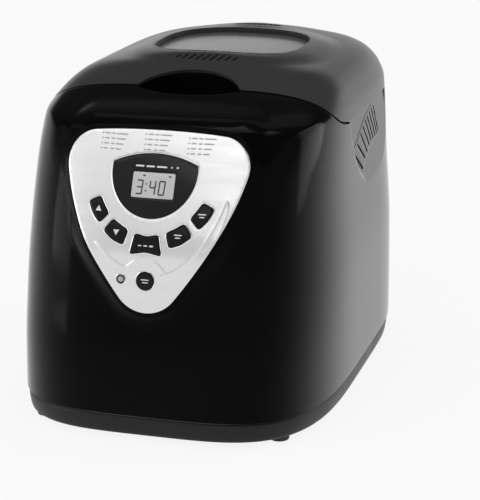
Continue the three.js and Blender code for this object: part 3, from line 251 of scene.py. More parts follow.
def shield_outline(top, corner_x, corner_z, corner_r, tip_z, tip_r, grow=0.0):
    """A rounded triangle, tip down."""
    corner_r, tip_r, top = corner_r + grow, tip_r + grow, top + grow
    tip, turn = math.radians(38), math.radians(14)
    tip_end = np.array([tip_r * math.cos(tip), tip_z - tip_r * math.sin(tip)])
    corner = np.array([corner_x + corner_r * math.cos(turn), corner_z - corner_r * math.sin(turn)])
    a, b = np.array([math.sin(tip), math.cos(tip)]), np.array([math.sin(turn), math.cos(turn)])
    d = corner - tip_end
    reach = (d[0] * b[1] - d[1] * b[0]) / (a[0] * b[1] - a[1] * b[0])
    half = np.vstack([
        arc(0, tip_z, tip_r, -90, -38, 16), quad_curve(tip_end, tip_end + a * reach, corner, 30),
        arc(corner_x, corner_z, corner_r, -14, 84, 24)])
    half = np.vstack([half, quad_curve(half[-1], (corner_x * 0.6, top), (0, top), 16)])
    return anticlockwise(evenly(np.vstack([half, half[::-1] * [-1, 1]]), 1.2))


FASCIA = dict(top=263.5, corner_x=54, corner_z=235, corner_r=25.7, tip_z=145.8, tip_r=30.3)
BOSS_FOOT = dict(top=273, corner_x=62, corner_z=238, corner_r=33, tip_z=131, tip_r=45)


# ---------------------------------------------------------------- mesh building

MERGE = 0.002
ROW_GAP, EDGE_CLEAR, EXTRA_CLEAR, EDGE_GAP = 0.87, 0.45, 0.5, 0.3


class Skin:
    """Points and faces gathered in millimetres and made into one mesh object."""

    def __init__(self):
        self.points = []
        self.count = 0
        self.faces = []

    def add(self, points):
        points = np.asarray(points, float).reshape(-1, 3)
        self.points.append(points)
        self.count += len(points)
        return np.arange(self.count - len(points), self.count)

    def bridge(self, a, b, closed=True):
        """Quads between two rings of equal length."""
        n = len(a) if closed else len(a) - 1
        for i in range(n):
            j = (i + 1) % len(a)
            self.faces.append((a[i], a[j], b[j], b[i]))

    def grid(self, rows, closed=False):
        """Quads over rows of points; closed joins the last column to the first."""
        index = [self.add(row) for row in rows]
        for low, high in zip(index[:-1], index[1:]):
            self.bridge(low, high, closed)
        return index

    def tube(self, rows):
        """Closed rings whose last joins the first."""
        index = self.grid(rows, closed=True)
        self.bridge(index[-1], index[0])

    def capped(self, rings, first, last):
        """Closed rings that end in a point on either side."""
        index = self.grid(rings, closed=True)
        for ring, centre in ((index[0], first), (index[-1], last)):
            middle = int(self.add([centre])[0])
            for i, a in enumerate(ring):
                self.faces.append((a, ring[(i + 1) % len(ring)], middle))

    def cover(self, outer, holes, step, put, down=True):
        """Fills an outline round its holes, facing down or up; gives back its edge rings."""
        verts, triangles, loops = fill(outer, holes, step)
        index = self.add(put(verts))
        self.faces += [tuple(index[t][::-1] if down else index[t]) for t in triangles]
        return [index[loop] for loop in loops]

    def object(self, name, sharp=35.0, recalc=True):
        points = np.vstack(self.points) * MM
        mesh = bpy.data.meshes.new(name)
        mesh.from_pydata(points.tolist(), [], [tuple(int(v) for v in f) for f in self.faces])
        bm = bmesh.new()
        bm.from_mesh(mesh)
        bmesh.ops.remove_doubles(bm, verts=bm.verts, dist=MERGE * MM)
        bmesh.ops.dissolve_degenerate(bm, edges=bm.edges, dist=MERGE / 4 * MM)
        loose = [v for v in bm.verts if not v.link_faces]
        bmesh.ops.delete(bm, geom=loose, context="VERTS")
        if recalc:
            bmesh.ops.recalc_face_normals(bm, faces=bm.faces)
        bm.to_mesh(mesh)
        bm.free()
        mesh.polygons.foreach_set("use_smooth", [True] * len(mesh.polygons))
        mesh.set_sharp_from_angle(angle=math.radians(sharp))
        piece = bpy.data.objects.new(name, mesh)
        bpy.context.collection.objects.link(piece)
        return piece


def fill(outer, holes, step, extra=None):
    """Triangles inside an outline and outside its holes, with an even spread of inner points."""
    low, high = outer.min(axis=0), outer.max(axis=0)
    gx, gy = np.meshgrid(np.arange(low[0] + step / 2, high[0], step),
                         np.arange(low[1] + step / 2, high[1], step * ROW_GAP))
    gx[1::2] += step / 2
    inner = np.column_stack([gx.ravel(), gy.ravel()])
    edge_points = np.vstack([outer, *holes])
    inner = inner[between(inner, outer, holes)]
    inner = inner[nearest(inner, edge_points) > (EDGE_CLEAR * step) ** 2]
    if extra is not None:
        near = nearest(inner, extra) < (EXTRA_CLEAR * step) ** 2
        clear = (nearest(extra, edge_points) > EDGE_GAP) & between(extra, outer, holes)
        inner = np.vstack([inner[~near], extra[clear]])
    edges, spans, begin = [], [], 0
    for loop in (outer, *holes):
        n = len(loop)
        edges += [(begin + i, begin + (i + 1) % n) for i in range(n)]
        spans.append(range(begin, begin + n))
        begin += n
    points = [Vector(p) for p in np.vstack([edge_points, inner])]
    result = delaunay_2d_cdt(points, edges, [], 0, 1e-5)
    verts = np.array([tuple(v) for v in result[0]])
    triangles = np.array([tuple(f) for f in result[2]])
    inside = between(verts[triangles].mean(axis=1), outer, holes)
    source = {old: new for new, group in enumerate(result[3]) for old in group}
    return verts, triangles[inside], [[source[i] for i in span] for span in spans]


def plate(skin, outer, holes, place, step=3.0, edge=0.5, depth=2.0, back=None, rounds=3, outer_edge=None,
          extra=None):
    """A plate over an outline with rounded edges; place(points, depth) sets it in space.

    Its back is filled at a step of its own, twice the front's if none is given, and left open where that
    is 0. Gives back the inner end of its outline and of each hole.
    """
    outer = anticlockwise(outer)
    holes = [anticlockwise(h) for h in holes]
    rim = edge if outer_edge is None else outer_edge
    front_loops = [offset(outer, -rim)] + [offset(h, edge) for h in holes]
    verts, triangles, loops = fill(front_loops[0], front_loops[1:], step, extra=extra)
    top = skin.add(place(verts, np.zeros(len(verts))))
    skin.faces += [tuple(top[t]) for t in triangles]
    ends = []
    for k, (loop, outline) in enumerate(zip(loops, (outer, *holes))):
        size, sign = (rim, -1) if k == 0 else (edge, 1)
        ring = top[loop]
        if size:
            for r in range(1, rounds + 1):
                turn = math.pi / 2 * r / rounds
                at = offset(outline, sign * size * (1 - math.sin(turn))) if r < rounds else outline
                new = skin.add(place(at, np.full(len(at), size * (1 - math.cos(turn)))))
                skin.bridge(ring, new)
                ring = new
            last = skin.add(place(outline, np.full(len(outline), depth)))
            skin.bridge(ring, last)
            ring = last
        ends.append(ring)
    if back != 0:
        skin.cover(outer, holes, back or step * 2, lambda p: place(p, np.full(len(p), depth)))
    return ends


# ---------------------------------------------------------------- materials

def node_of(nodes, kind, inputs=None, **settings):
    """A new node with its settings and its plain input values."""
    made = nodes.new(kind)
    for name, value in settings.items():
        setattr(made, name, value)
    for key, value in (inputs or {}).items():
        made.inputs[key].default_value = value
    return made


def material(name, color, roughness, metallic=0.0, **sockets):
    """A node material with its plain values on the shader; returns it and its tools."""
    made = bpy.data.materials.new(name)
    made.use_nodes = True
    nodes, links = made.node_tree.nodes, made.node_tree.links
    shader = nodes["Principled BSDF"]
    values = {"Base Color": (*color, 1), "Roughness": roughness, "Metallic": metallic}
    values.update({key.replace("_", " "): value for key, value in sockets.items()})
    for key, value in values.items():
        shader.inputs[key].default_value = value
    return made, nodes, links, shader


def noise_of(nodes, links, scale, detail=2.0, stretch=(1, 1, 1)):
    where = nodes.new("ShaderNodeTexCoord")
    turn = node_of(nodes, "ShaderNodeMapping", {"Scale": stretch})
    noise = node_of(nodes, "ShaderNodeTexNoise", {"Scale": scale, "Detail": detail, "Roughness": 0.5})
    links.new(where.outputs["Object"], turn.inputs["Vector"])
    links.new(turn.outputs["Vector"], noise.inputs["Vector"])
    return noise.outputs["Fac"]


def ramp_of(nodes, links, value, low, high, start, end):
    """A value's range from start to end carried over to low to high."""
    ramp = node_of(nodes, "ShaderNodeMapRange",
                   {"From Min": start, "From Max": end, "To Min": low, "To Max": high})
    links.new(value, ramp.inputs["Value"])
    return ramp.outputs["Result"]


def mixed_color(nodes, links, share, a, b):
    mix = node_of(nodes, "ShaderNodeMix", data_type="RGBA")
    mix.inputs["A"].default_value = (*a, 1)
    mix.inputs["B"].default_value = (*b, 1)
    links.new(share, mix.inputs["Factor"])
    return mix.outputs["Result"]


CLOUD_LOW, CLOUD_HIGH = 0.3, 0.7


def surfaced(name, color, shade, roughness, spread, scale, metallic=0.0, bump=0.0, stretch=(1, 1, 1),
             bump_scale=None, **sockets):
    """A finish whose colour, gloss and grain vary gently over the piece."""
    made, nodes, links, shader = material(name, color, roughness, metallic, **sockets)
    cloud = noise_of(nodes, links, scale, 3.0, stretch)
    share = ramp_of(nodes, links, cloud, 0, 1, CLOUD_LOW, CLOUD_HIGH)
    gloss = ramp_of(nodes, links, cloud, roughness - spread, roughness + spread, CLOUD_LOW, CLOUD_HIGH)
    links.new(mixed_color(nodes, links, share, color, shade), shader.inputs["Base Color"])
    links.new(gloss, shader.inputs["Roughness"])
    if bump:
        grain = node_of(nodes, "ShaderNodeBump", {"Distance": bump * MM, "Strength": 1.0})
        links.new(noise_of(nodes, links, bump_scale or scale * 20, 2.0, stretch), grain.inputs["Height"])
        links.new(grain.outputs["Normal"], shader.inputs["Normal"])
    return made


def assign(piece, made):
    piece.data.materials.clear()
    piece.data.materials.append(made)


def dress(names, made):
    """Gives CAD nodes their finish."""
    for name in names:
        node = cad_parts[name]
        if not node.material_slots:
            node.data.materials.append(made)
        for slot in node.material_slots:
            slot.material = made


def finished(skin, name, body, slot, finish, *stands_for, sharp=35.0):
    """Makes a piece, rides it on its body and hides the plain nodes it stands for."""
    piece = skin.object(name, sharp)
    assign(piece, finishes()[finish])
    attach(piece, body)
    if stands_for:
        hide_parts(*stands_for)
    return piece


# ---------------------------------------------------------------- housing

SHELL_LOW, SHELL_WALL, DECK_Z = 22.5, 3.0, 250.5
INNER_STOP, DECK_ROWS = 26.0, 22
BOSS_MIDDLE, BOSS_LAND = np.array([0.0, 205.0]), 2.0
BOSS_STEP, BOSS_STEP_SHARE, BOSS_FLANK, BOSS_FLARE = 0.9, 0.16, (2.4, 8.7), (18, 60)
BOSS_BLEND, CROWN_BLEND, BLEND_FROM, BLEND_OVER = 2.2, 26, 258, 14
SCOOP_LOW, SCOOP_REAR, SCOOP_SIDE = 178.0, 152.0, 100.0
SCOOP_SLOPE, SCOOP_EASE, SCOOP_EASE_REACH = 1.3, 0.45, 1.6
FLOOR_LOW, FLOOR_HIGH, VENT_POCKET = 139.6, 127.0, 4.5
MOUTH_X, MOUTH_Y, MOUTH_CORNER, MOUTH_CENTRE = 103.0, 97.0, 36.0, 72.0
DISH_X, DISH_Y, DISH_CENTRE, DISH_TOP, DISH_DEEP = 54.0, 23.5, -72.0, 290.0, 14.5
SLOT_TOPS = [(-4, 218), (14.6, 222), (32.5, 228.5), (45.5, 232.6), (57.6, 236), (68, 238), (78.5, 239.6),
             (88.5, 241), (98, 242)]
SLOT_FEET = [(22, 198), (36, 205), (48, 208), (60, 211.5), (70, 214), (79, 214.6), (88, 215), (96, 215.4),
             (103, 216)]
HINGE_SPREAD = 14.3
HOUSING_WEB = np.array([(194.5, 251.5), (203, 251.5), (203, 246.5), (196.8, 235.5), (194.5, 235.5)])
LID_WEB = np.array([(195.2, 252.6), (195.2, 264.0), (198.6, 263.4), (200.6, 259.0), (201.8, 252.6)])


def plan_turns(step_at):
    """Angles round the form whose columns stand a wanted distance apart; step_at(x, y) gives it."""
    wide, front, rear, height = 138.0, 197.0, 190.0, 200.0
    lean = np.linspace(-math.pi / 2, 1.5 * math.pi, 12001)
    c, s = np.cos(lean), np.sin(lean)
    power = np.where(s < 0, FRONT_POWER, REAR_POWER) / 2
    turn = np.unwrap(np.arctan2(signed_power(s / np.where(s < 0, front, rear), power),
                                signed_power(c / wide, power)))
    x, y = form_point(turn, np.full_like(turn, height))
    gap = np.hypot(np.diff(x), np.diff(y)) / step_at((x[1:] + x[:-1]) / 2, (y[1:] + y[:-1]) / 2)
    run = np.concatenate([[0], np.cumsum(gap)])
    return np.interp(np.linspace(0, run[-1], int(run[-1]) + 1)[:-1], run, turn)


def stop_heights(turn, gone, low, high):
    """Height at which each column first passes a test, by halving."""
    low, high = np.full_like(turn, low), np.full_like(turn, high)
    for _ in range(40):
        z = (low + high) / 2
        past = gone(*form_point(turn, z), z)
        low, high = np.where(past, low, z), np.where(past, z, high)
    return (low + high) / 2


def polar_reach(outline, centre):
    """Distance from a centre to an outline as a function of direction."""
    d = outline - centre
    turn, reach = np.arctan2(d[:, 1], d[:, 0]), np.hypot(d[:, 0], d[:, 1])
    order = np.argsort(turn)
    turn, reach = turn[order], reach[order]
    turn = np.concatenate([turn[-1:] - 2 * math.pi, turn, turn[:1] + 2 * math.pi])
    reach = np.concatenate([reach[-1:], reach, reach[:1]])
    return lambda angle: np.interp(angle, turn, reach)


def boss_y(x, z, land, foot):
    """Face of the raised shield round the control panel, flaring back past its edge."""
    dx, dz = x - BOSS_MIDDLE[0], z - BOSS_MIDDLE[1]
    turn, reach = np.arctan2(dz, dx), np.hypot(dx, dz)
    share = (reach - land(turn)) / (foot(turn) - land(turn))
    s, past = np.clip(share, 0, None), np.clip(share - 1, 0, None)
    step = BOSS_STEP * eased(np.clip(s / BOSS_STEP_SHARE, 0, 1))
    flank = BOSS_FLANK[0] * s + BOSS_FLANK[1] * np.minimum(s, 1) ** 2
    return face_y(x, z) + BOSS_LAND + step + flank + BOSS_FLARE[0] * past + BOSS_FLARE[1] * past**2


def scoop_outline():
    """Side view of a scoop: a sweep down from the seam, a level foot and a rise at the rear."""
    top, foot = SEAM_Z + 14, (70.0, SCOOP_LOW)
    t = np.linspace(0, 1, 60)[:, None]
    a, b, c, d = (np.array(p, float) for p in ((-25, SEAM_Z), (-18, 208), (26, SCOOP_LOW), foot))
    sweep = (1 - t) ** 3 * a + 3 * t * (1 - t) ** 2 * b + 3 * t * t * (1 - t) * c + t**3 * d
    tail = quad_curve(foot, (122, SCOOP_LOW), (150, 226), 30)
    return np.vstack([[(-26, top)], sweep, tail[1:], [(SCOOP_REAR, top)]])


def floor_x(z):
    """Half width of the machine on a scoop's floor."""
    return FLOOR_LOW + (FLOOR_HIGH - FLOOR_LOW) / (SEAM_Z - SCOOP_LOW) * (z - SCOOP_LOW)


def vent_band(grow):
    """Outline round the slots of a side vent."""
    ring = np.array(SLOT_FEET + SLOT_TOPS[::-1], float)
    return evenly(offset(anticlockwise(evenly(rounded(ring, 3), 1.5)), grow), 1.2)


def scoop_cut(x, y, z):
    """Half width of the side after the scoop is taken out."""
    near = (np.abs(x) > SCOOP_SIDE) & (y > -34) & (y < 160) & (z > 168)
    out = np.abs(x).copy()
    if near.any():
        side, wide = np.column_stack([y[near], z[near]]), out[near]
        outline = scoop_outline()
        gap = path_gap(side, np.vstack([outline, outline[:1]]))
        gap = np.where(inside_outline(side, outline), gap, -gap)
        soft = SCOOP_SLOPE * np.where(gap > 0, gap, 0)
        soft = soft + SCOOP_EASE * np.exp(-(gap / SCOOP_EASE_REACH) ** 2)
        cut = np.minimum(wide, np.maximum(wide - soft, np.minimum(floor_x(z[near]), wide)))
        out[near] = np.where(inside_outline(side, vent_band(0.6)), cut - VENT_POCKET, cut)
    return np.sign(x) * out


def seam_profile():
    """The body's side of the lid seam in side view: front wall, quarter ellipse, level deck."""
    turn = np.linspace(math.pi, 1.5 * math.pi, 60)
    y = np.concatenate([[SEAM_FRONT - 1], SEAM_FLAT + 58 * np.cos(turn), [206.0]])
    z = np.concatenate([[300.0], SEAM_TURN + 27.5 * np.sin(turn), [DECK_Z]])
    return y, z, run_of(np.column_stack([y, z]))


def along_profile(y, z):
    """Length along the seam's profile at a point of the side view."""
    py, _, run = seam_profile()
    on_wall = (z > SEAM_TURN) & (y < -70)
    return np.where(on_wall, 300 - z, np.interp(y, py[1:], run[1:]))


def mouth_at(turn):
    """Points of the oven's rounded mouth in the given directions from its centre."""
    x0, y0 = MOUTH_X - MOUTH_CORNER, MOUTH_Y - MOUTH_CORNER
    ring = np.vstack([arc(sx * x0, sy * y0, MOUTH_CORNER, 90 * k, 90 * k + 90, 24)
                      for k, (sx, sy) in enumerate(((1, 1), (-1, 1), (-1, -1), (1, -1)))])
    reach = polar_reach(evenly(ring, 1.0), np.zeros(2))
    turn = (turn + math.pi) % (2 * math.pi) - math.pi
    r = reach(turn)
    return r * np.cos(turn), MOUTH_CENTRE + r * np.sin(turn)


def dish_floor(x, y):
    """Top of the finger dish in the housing, or a height clear of everything outside it."""
    share = (x / DISH_X) ** 2 + ((y - DISH_CENTRE) / DISH_Y) ** 2
    return np.where(share < 1, DISH_TOP - DISH_DEEP * np.sqrt(np.clip(1 - share, 0, 1)), 400.0)


def rings_of(profile, count):
    """Unit circles scaled by (radius, shift) pairs: cosine, sine and shift of every point."""
    turn = np.linspace(0, 2 * math.pi, count, endpoint=False)
    return [(r * np.cos(turn), r * np.sin(turn), np.full(count, float(shift))) for r, shift in profile]


def barrel(skin, x0, x1):
    """A hinge bar lying along X with eased ends."""
    ease = 0.5
    profile = ((HINGE_RADIUS - ease, x0), (HINGE_RADIUS, x0 + ease), (HINGE_RADIUS, x1 - ease),
               (HINGE_RADIUS - ease, x1))
    rings = [np.column_stack([x, HINGE_Y + c, SEAM_Z + s]) for c, s, x in rings_of(profile, 28)]
    skin.capped(rings, (x0, HINGE_Y, SEAM_Z), (x1, HINGE_Y, SEAM_Z))


def knuckle(skin, middle, half, web):
    """A hinge bar and the web that carries it, an outline in (y, z)."""
    barrel(skin, middle - half, middle + half)
    ends = (middle - half + 0.1, middle + half - 0.1)
    rings = [np.column_stack([np.full(len(web), x), web]) for x in ends]
    skin.capped(rings, *((x, *np.mean(web, axis=0)) for x in ends))


def housing_levels(top):
    """Heights of the housing's rows, closer together towards the lid."""
    return np.concatenate([[SHELL_LOW, 22.8, 23.6, 26, 36, 52, 68, 80], np.arange(84, 254, 2.0),
                           np.arange(254, 268, 0.9), np.arange(268.6, top - 0.4, 0.45), [top - 0.35]])


def housing_wall(turn, stop):
    """Rows of the outer wall, with the raised boss in front and the scoops in its sides."""
    levels = housing_levels(stop[0])
    share = (levels - SHELL_LOW) / (stop[0] - SHELL_LOW)
    z = SHELL_LOW + share[:, None] * (stop[None] - SHELL_LOW)
    foot_inset = np.where(levels < 23.7, (23.7 - levels) / 1.2 * 0.9, 0)[:, None]
    x, y = form_point(np.broadcast_to(turn, z.shape), z, np.broadcast_to(foot_inset, z.shape))
    land = polar_reach(shield_outline(**FASCIA, grow=3.5), BOSS_MIDDLE)
    foot = polar_reach(shield_outline(**BOSS_FOOT), BOSS_MIDDLE)
    blend = BOSS_BLEND + CROWN_BLEND * np.clip((z - BLEND_FROM) / BLEND_OVER, 0, 1)
    y = np.where(y < -60, soft_min(y, boss_y(x, z, land, foot), blend), y)
    x = scoop_cut(x.ravel(), y.ravel(), z.ravel()).reshape(x.shape)
    return [np.stack(row, axis=1) for row in zip(x, y, z)]


def housing_skin():
    def step_at(x, y):
        scoop = (np.abs(x) > SCOOP_SIDE) & (y > -40) & (y < 164)
        return np.where(y < -95, 2.0, np.where(scoop, 1.9, 4.5))

    turn = plan_turns(step_at)
    stop = stop_heights(turn, lambda x, y, z: above_seam(y, z, -1.0), 200.0, 300.0)
    rows = housing_wall(turn, stop)
    edge_x, edge_y = form_point(turn, stop)
    edge_x = scoop_cut(edge_x, edge_y, stop)
    run = along_profile(edge_y, stop)
    mouth_x, mouth_y = mouth_at(np.arctan2(edge_y - MOUTH_CENTRE, edge_x))
    mouth_run = along_profile(mouth_y, np.full_like(mouth_y, DECK_Z))
    py, pz, ps = seam_profile()

    def deck(t, drop=0.0):
        s = run + (mouth_run - run) * t
        return np.column_stack([edge_x + (mouth_x - edge_x) * t, np.interp(s, ps, py),
                                np.interp(s, ps, pz) - drop])

    reach = np.hypot(mouth_x - edge_x, mouth_run - run)
    first = deck(0.9 / reach)
    edge = np.column_stack([edge_x, edge_y, stop])
    rows += [0.5 * edge + 0.25 * (rows[-1] + first), first]
    rows += [deck(np.full_like(reach, t)) for t in np.linspace(0.04, 1, DECK_ROWS) ** 1.15]
    for row in rows:
        dish = dish_floor(row[:, 0], row[:, 1])
        row[:, 2] = np.where(dish < 399, soft_min(row[:, 2], dish, 2.0), row[:, 2])
    for t in (1, 0.5, 0.04):
        low = deck(np.full_like(reach, t), SHELL_WALL)
        low[:, 2] = np.minimum(low[:, 2], dish_floor(low[:, 0], low[:, 1]) - SHELL_WALL)
        rows.append(low)
    for share in (0.97, 0.8, 0.5, 0.2, 0.0):
        z = SHELL_LOW + share * (stop - INNER_STOP - SHELL_LOW)
        x, y = form_point(turn, z, SHELL_WALL)
        inner = np.minimum(np.abs(x), np.abs(scoop_cut(x, y, z)) - 1.5)
        rows.append(np.column_stack([np.sign(x) * inner, y, z]))
    skin = Skin()
    skin.tube(rows)
    for side in (-1, 1):
        for end in (-1, 1):
            knuckle(skin, side * HINGE_X + end * HINGE_SPREAD, 3.0, HOUSING_WEB)
    return skin


# ---------------------------------------------------------------- side vents

def slot_outline(top, foot, wide):
    a, b = np.array(top, float), np.array(foot, float)
    along = (b - a) / np.linalg.norm(b - a)
    side = np.array([-along[1], along[0]]) * wide / 2
    return evenly(rounded([a - side, a + side, b + side, b - side], wide * 0.45, 5), 0.7)


def side_vent_skin(side):
    """Slotted panel lying in the scoop of one flank."""
    def place(points, depth):
        y, z = points.T
        return np.column_stack([side * (floor_x(z) + 0.25 - depth), y, z])

    slots = [slot_outline(a, b, 2.6) for a, b in zip(SLOT_TOPS, SLOT_FEET)]
    skin = Skin()
    plate(skin, vent_band(3.0), slots, place, step=2.5, edge=0.35, depth=1.6, back=5.0)
    return skin


# ---------------------------------------------------------------- lid

VENT_ROWS = ((-20.5, 60.0), (154.0, 46.0))
VENT_COUNT, VENT_LEAN, VENT_WIDE, VENT_LONG = 9, math.radians(-25), 3.4, 13.5
VENT_DIP, VENT_DIP_HALF, VENT_DIP_END = 0.9, 9.5, 5.0
BEAD_HIGH, BEAD_OUT, BEAD_REACH = 0.5, 2.2, 1.4
CREST_FROM, CREST_OVER, CREST_STEPS = 297.5, 5.0, (-15.0, -10.0, -5.0, 5.0, 10.0, 15.0)
RIM_ARCH, RIM_BLEND, WELL_FLOOR = 2.7, 30.0, 291.0
LID_JOIN, JOIN_DROP, LID_WALL, LID_ROWS = 296.0, 7.0, 3.0, 40
GLASS_SINK, GLASS_DISH = 4.2, 0.4
GRIP_GAP, GRIP_WALL = 3.2, 1.8


def grip_wall_skin():
    """Curved wall that closes the lid behind its finger notch."""
    turn = np.radians(np.linspace(22, 158, 90))
    radius = GRIP_RADIUS + GRIP_GAP
    x, y = radius * np.cos(turn), GRIP_CENTRE + radius * np.sin(turn)
    py, pz, _ = seam_profile()
    low = np.interp(y, py[1:], pz[1:]) + 3.0
    high = np.maximum(form_height(x, y) - 2.4, low + 2)
    rows = []
    for grown, edge in ((radius, low), (radius, high), (radius + GRIP_WALL, high),
                        (radius + GRIP_WALL, low)):
        rows.append(np.column_stack([grown * np.cos(turn), GRIP_CENTRE + grown * np.sin(turn), edge]))
    skin = Skin()
    index = skin.grid(rows + rows[:1])
    skin.faces += [tuple(index[k][end] for k in range(4)) for end in (0, -1)]
    return skin


def crown_height(x, y):
    """Height of the form with its narrow crest softened across the machine."""
    z = form_height(x, y)
    soft = (z + sum(form_height(x + step, y) for step in CREST_STEPS)) / (1 + len(CREST_STEPS))
    return z + (soft - z) * eased(np.clip((z - CREST_FROM) / CREST_OVER, 0, 1))


def rim_height(x):
    """The window's rim arches across the machine with the crown."""
    return WINDOW_RIM - RIM_ARCH * (x / WINDOW_X_HALF) ** 2


def window_share(x, y):
    """One on the window's outline, less inside it and more outside."""
    return (np.abs(x / WINDOW_X_HALF) ** WINDOW_POWER
            + np.abs((y - WINDOW_Y) / WINDOW_Y_HALF) ** WINDOW_POWER) ** (1 / WINDOW_POWER)


def window_outline(grow, step):
    turn = np.linspace(0, 2 * math.pi, 721)[:-1]
    x, y = (signed_power(side, 2 / WINDOW_POWER) for side in (np.cos(turn), np.sin(turn)))
    return evenly(np.column_stack([(WINDOW_X_HALF + grow) * x, WINDOW_Y + (WINDOW_Y_HALF + grow) * y]), step)


def lid_top(x, y):
    """Height of the lid near its window, whose rim melts into the crown."""
    z = crown_height(x, y)
    for centre, span in VENT_ROWS:
        share = (x / (span / 2 + VENT_DIP_END)) ** 2 + ((y - centre) / VENT_DIP_HALF) ** 2
        z = z - VENT_DIP * np.clip(1 - share, 0, 1) ** 0.7
    grow = (window_share(x, y) - 1) * WINDOW_X_HALF
    near = eased(np.clip(1 - (grow - 2) / RIM_BLEND, 0, 1))
    bead = BEAD_HIGH * np.exp(-((grow - BEAD_OUT) / BEAD_REACH) ** 2)
    return z + (rim_height(x) - z) * near + bead


def vent_outlines():
    """Leaning slots of the two vent rows, longest in the middle of a row."""
    c, s = math.cos(VENT_LEAN), math.sin(VENT_LEAN)
    holes = []
    for centre, span in VENT_ROWS:
        for i in range(VENT_COUNT):
            share = (i + 0.5) / VENT_COUNT * 2 - 1
            long = VENT_LONG * math.sqrt(1 - share**2 * 0.8)
            ring = evenly(rounded(rectangle(VENT_WIDE, long), 1.2, 5), 0.8)
            holes.append(ring @ np.array([(c, s), (-s, c)]) + (share * span / 2, centre))
    return holes


def lid_wall(turn):
    """The lid's lower edge, and the rows of its outer wall from that edge to the join with its top."""
    def gone(x, y, z):
        return above_seam(y, z, 1.0) & (np.hypot(x, y - GRIP_CENTRE) > GRIP_RADIUS)

    low = stop_heights(turn, gone, 245.0, LID_JOIN)
    aside = np.where(np.sin(turn) < 0, np.clip((np.abs(np.cos(turn)) - 0.45) / 0.35, 0, 1), 1.0)
    join = LID_JOIN - JOIN_DROP * eased(aside)
    z = low[None] + (join - low)[None] * np.linspace(0, 1, 160)[:, None]
    x, y = form_point(np.broadcast_to(turn, z.shape), z)
    share = np.concatenate([[0.0], np.linspace(0, 1, LID_ROWS) ** 1.1])
    outer = np.empty((LID_ROWS + 1, len(turn), 3))
    for k, angle in enumerate(turn):
        run = run_of(np.column_stack([x[:, k], y[:, k], z[:, k]]))
        at = share * run[-1]
        at[1] = min(0.7, 0.3 * run[-1])
        height = np.interp(np.maximum.accumulate(at), run, z[:, k])
        outer[:, k] = np.column_stack([*form_point(np.full_like(height, angle), height), height])
    return outer[0].copy(), outer[1:]


def lid_inner(outer, edge):
    """Rows of the lid's inner wall, set in square to the outer one."""
    normal = np.cross(np.roll(outer, -1, axis=1) - np.roll(outer, 1, axis=1), np.gradient(outer, axis=0))
    normal /= np.maximum(np.linalg.norm(normal, axis=2, keepdims=True), 1e-9)
    keep = np.linspace(0, 1, LID_ROWS)[:, None, None] ** 6
    inner = outer + LID_WALL * ((1 - keep) * -normal + keep * np.array([0, 0, -1.0]))
    inner[0, :, 2] = np.maximum(inner[0, :, 2], edge[:, 2] + 0.2)
    return inner


def lid_skin():
    def step_at(x, y):
        return np.where((y < -95) & (np.abs(x) < 80), 1.6, np.where(y < -60, 2.2, 3.6))

    def place(points, depth):
        return np.column_stack([points, lid_top(*points.T) - depth])

    edge, outer = lid_wall(plan_turns(step_at))
    inner = lid_inner(outer, edge)
    lip_in = inner[0] * 0.7 + edge * 0.3
    lip_in[:, 2] = edge[:, 2]
    bottom = edge * 0.8 + lip_in * 0.2
    lip_out = edge * 0.55 + outer[0] * 0.25 + bottom * 0.2
    skin = Skin()
    skin.grid([*inner[::-4], lip_in, bottom, lip_out, *outer], closed=True)
    ring = outer[-1][:, :2]
    vents = [anticlockwise(vent) for vent in vent_outlines()]
    window = anticlockwise(window_outline(1.0, 2.0))
    grown = offset(window, 3.5)
    ends = plate(skin, ring, vents + [window], place, step=2.6, edge=0.35, depth=LID_WALL, back=0,
                 outer_edge=0.0)
    well, under = (skin.add(np.column_stack([loop, np.full(len(loop), WELL_FLOOR)]))
                   for loop in (window, grown))
    low = skin.cover(anticlockwise(ring), vents + [grown], 6.0, lambda p: place(p, np.full(len(p), LID_WALL)))
    for a, b in ((ends[-1], well), (well, under), (under, low[-1])):
        skin.bridge(a, b)
    for side in (-1, 1):
        knuckle(skin, side * HINGE_X, 11.0, LID_WEB)
    return skin


def glass_skin():
    def place(points, depth):
        rise = rim_height(points[:, 0]) - GLASS_SINK
        dish = GLASS_DISH * np.clip(window_share(*points.T) ** 2, 0, 1)
        return np.column_stack([points, rise - dish - depth])

    skin = Skin()
    plate(skin, window_outline(0.6, 2.4), [], place, step=5.0, edge=0.3, depth=3.0, rounds=2)
    return skin


# ---------------------------------------------------------------- control panel

DISPLAY_R, CROWN_R, CROWN_Z = 37.5, 88.0, 245.0
BUTTON_INNER, BUTTON_LINE, BUTTON_GAP, BUTTON_PROUD, BUTTON_SWELL = 50.5, 61.5, 0.45, 1.3, 0.35
BUTTON_DEPTH, FLANGE_GROW, FLANGE_DEPTH, MARK_PROUD = 7.5, 1.5, 4.2, 1.36
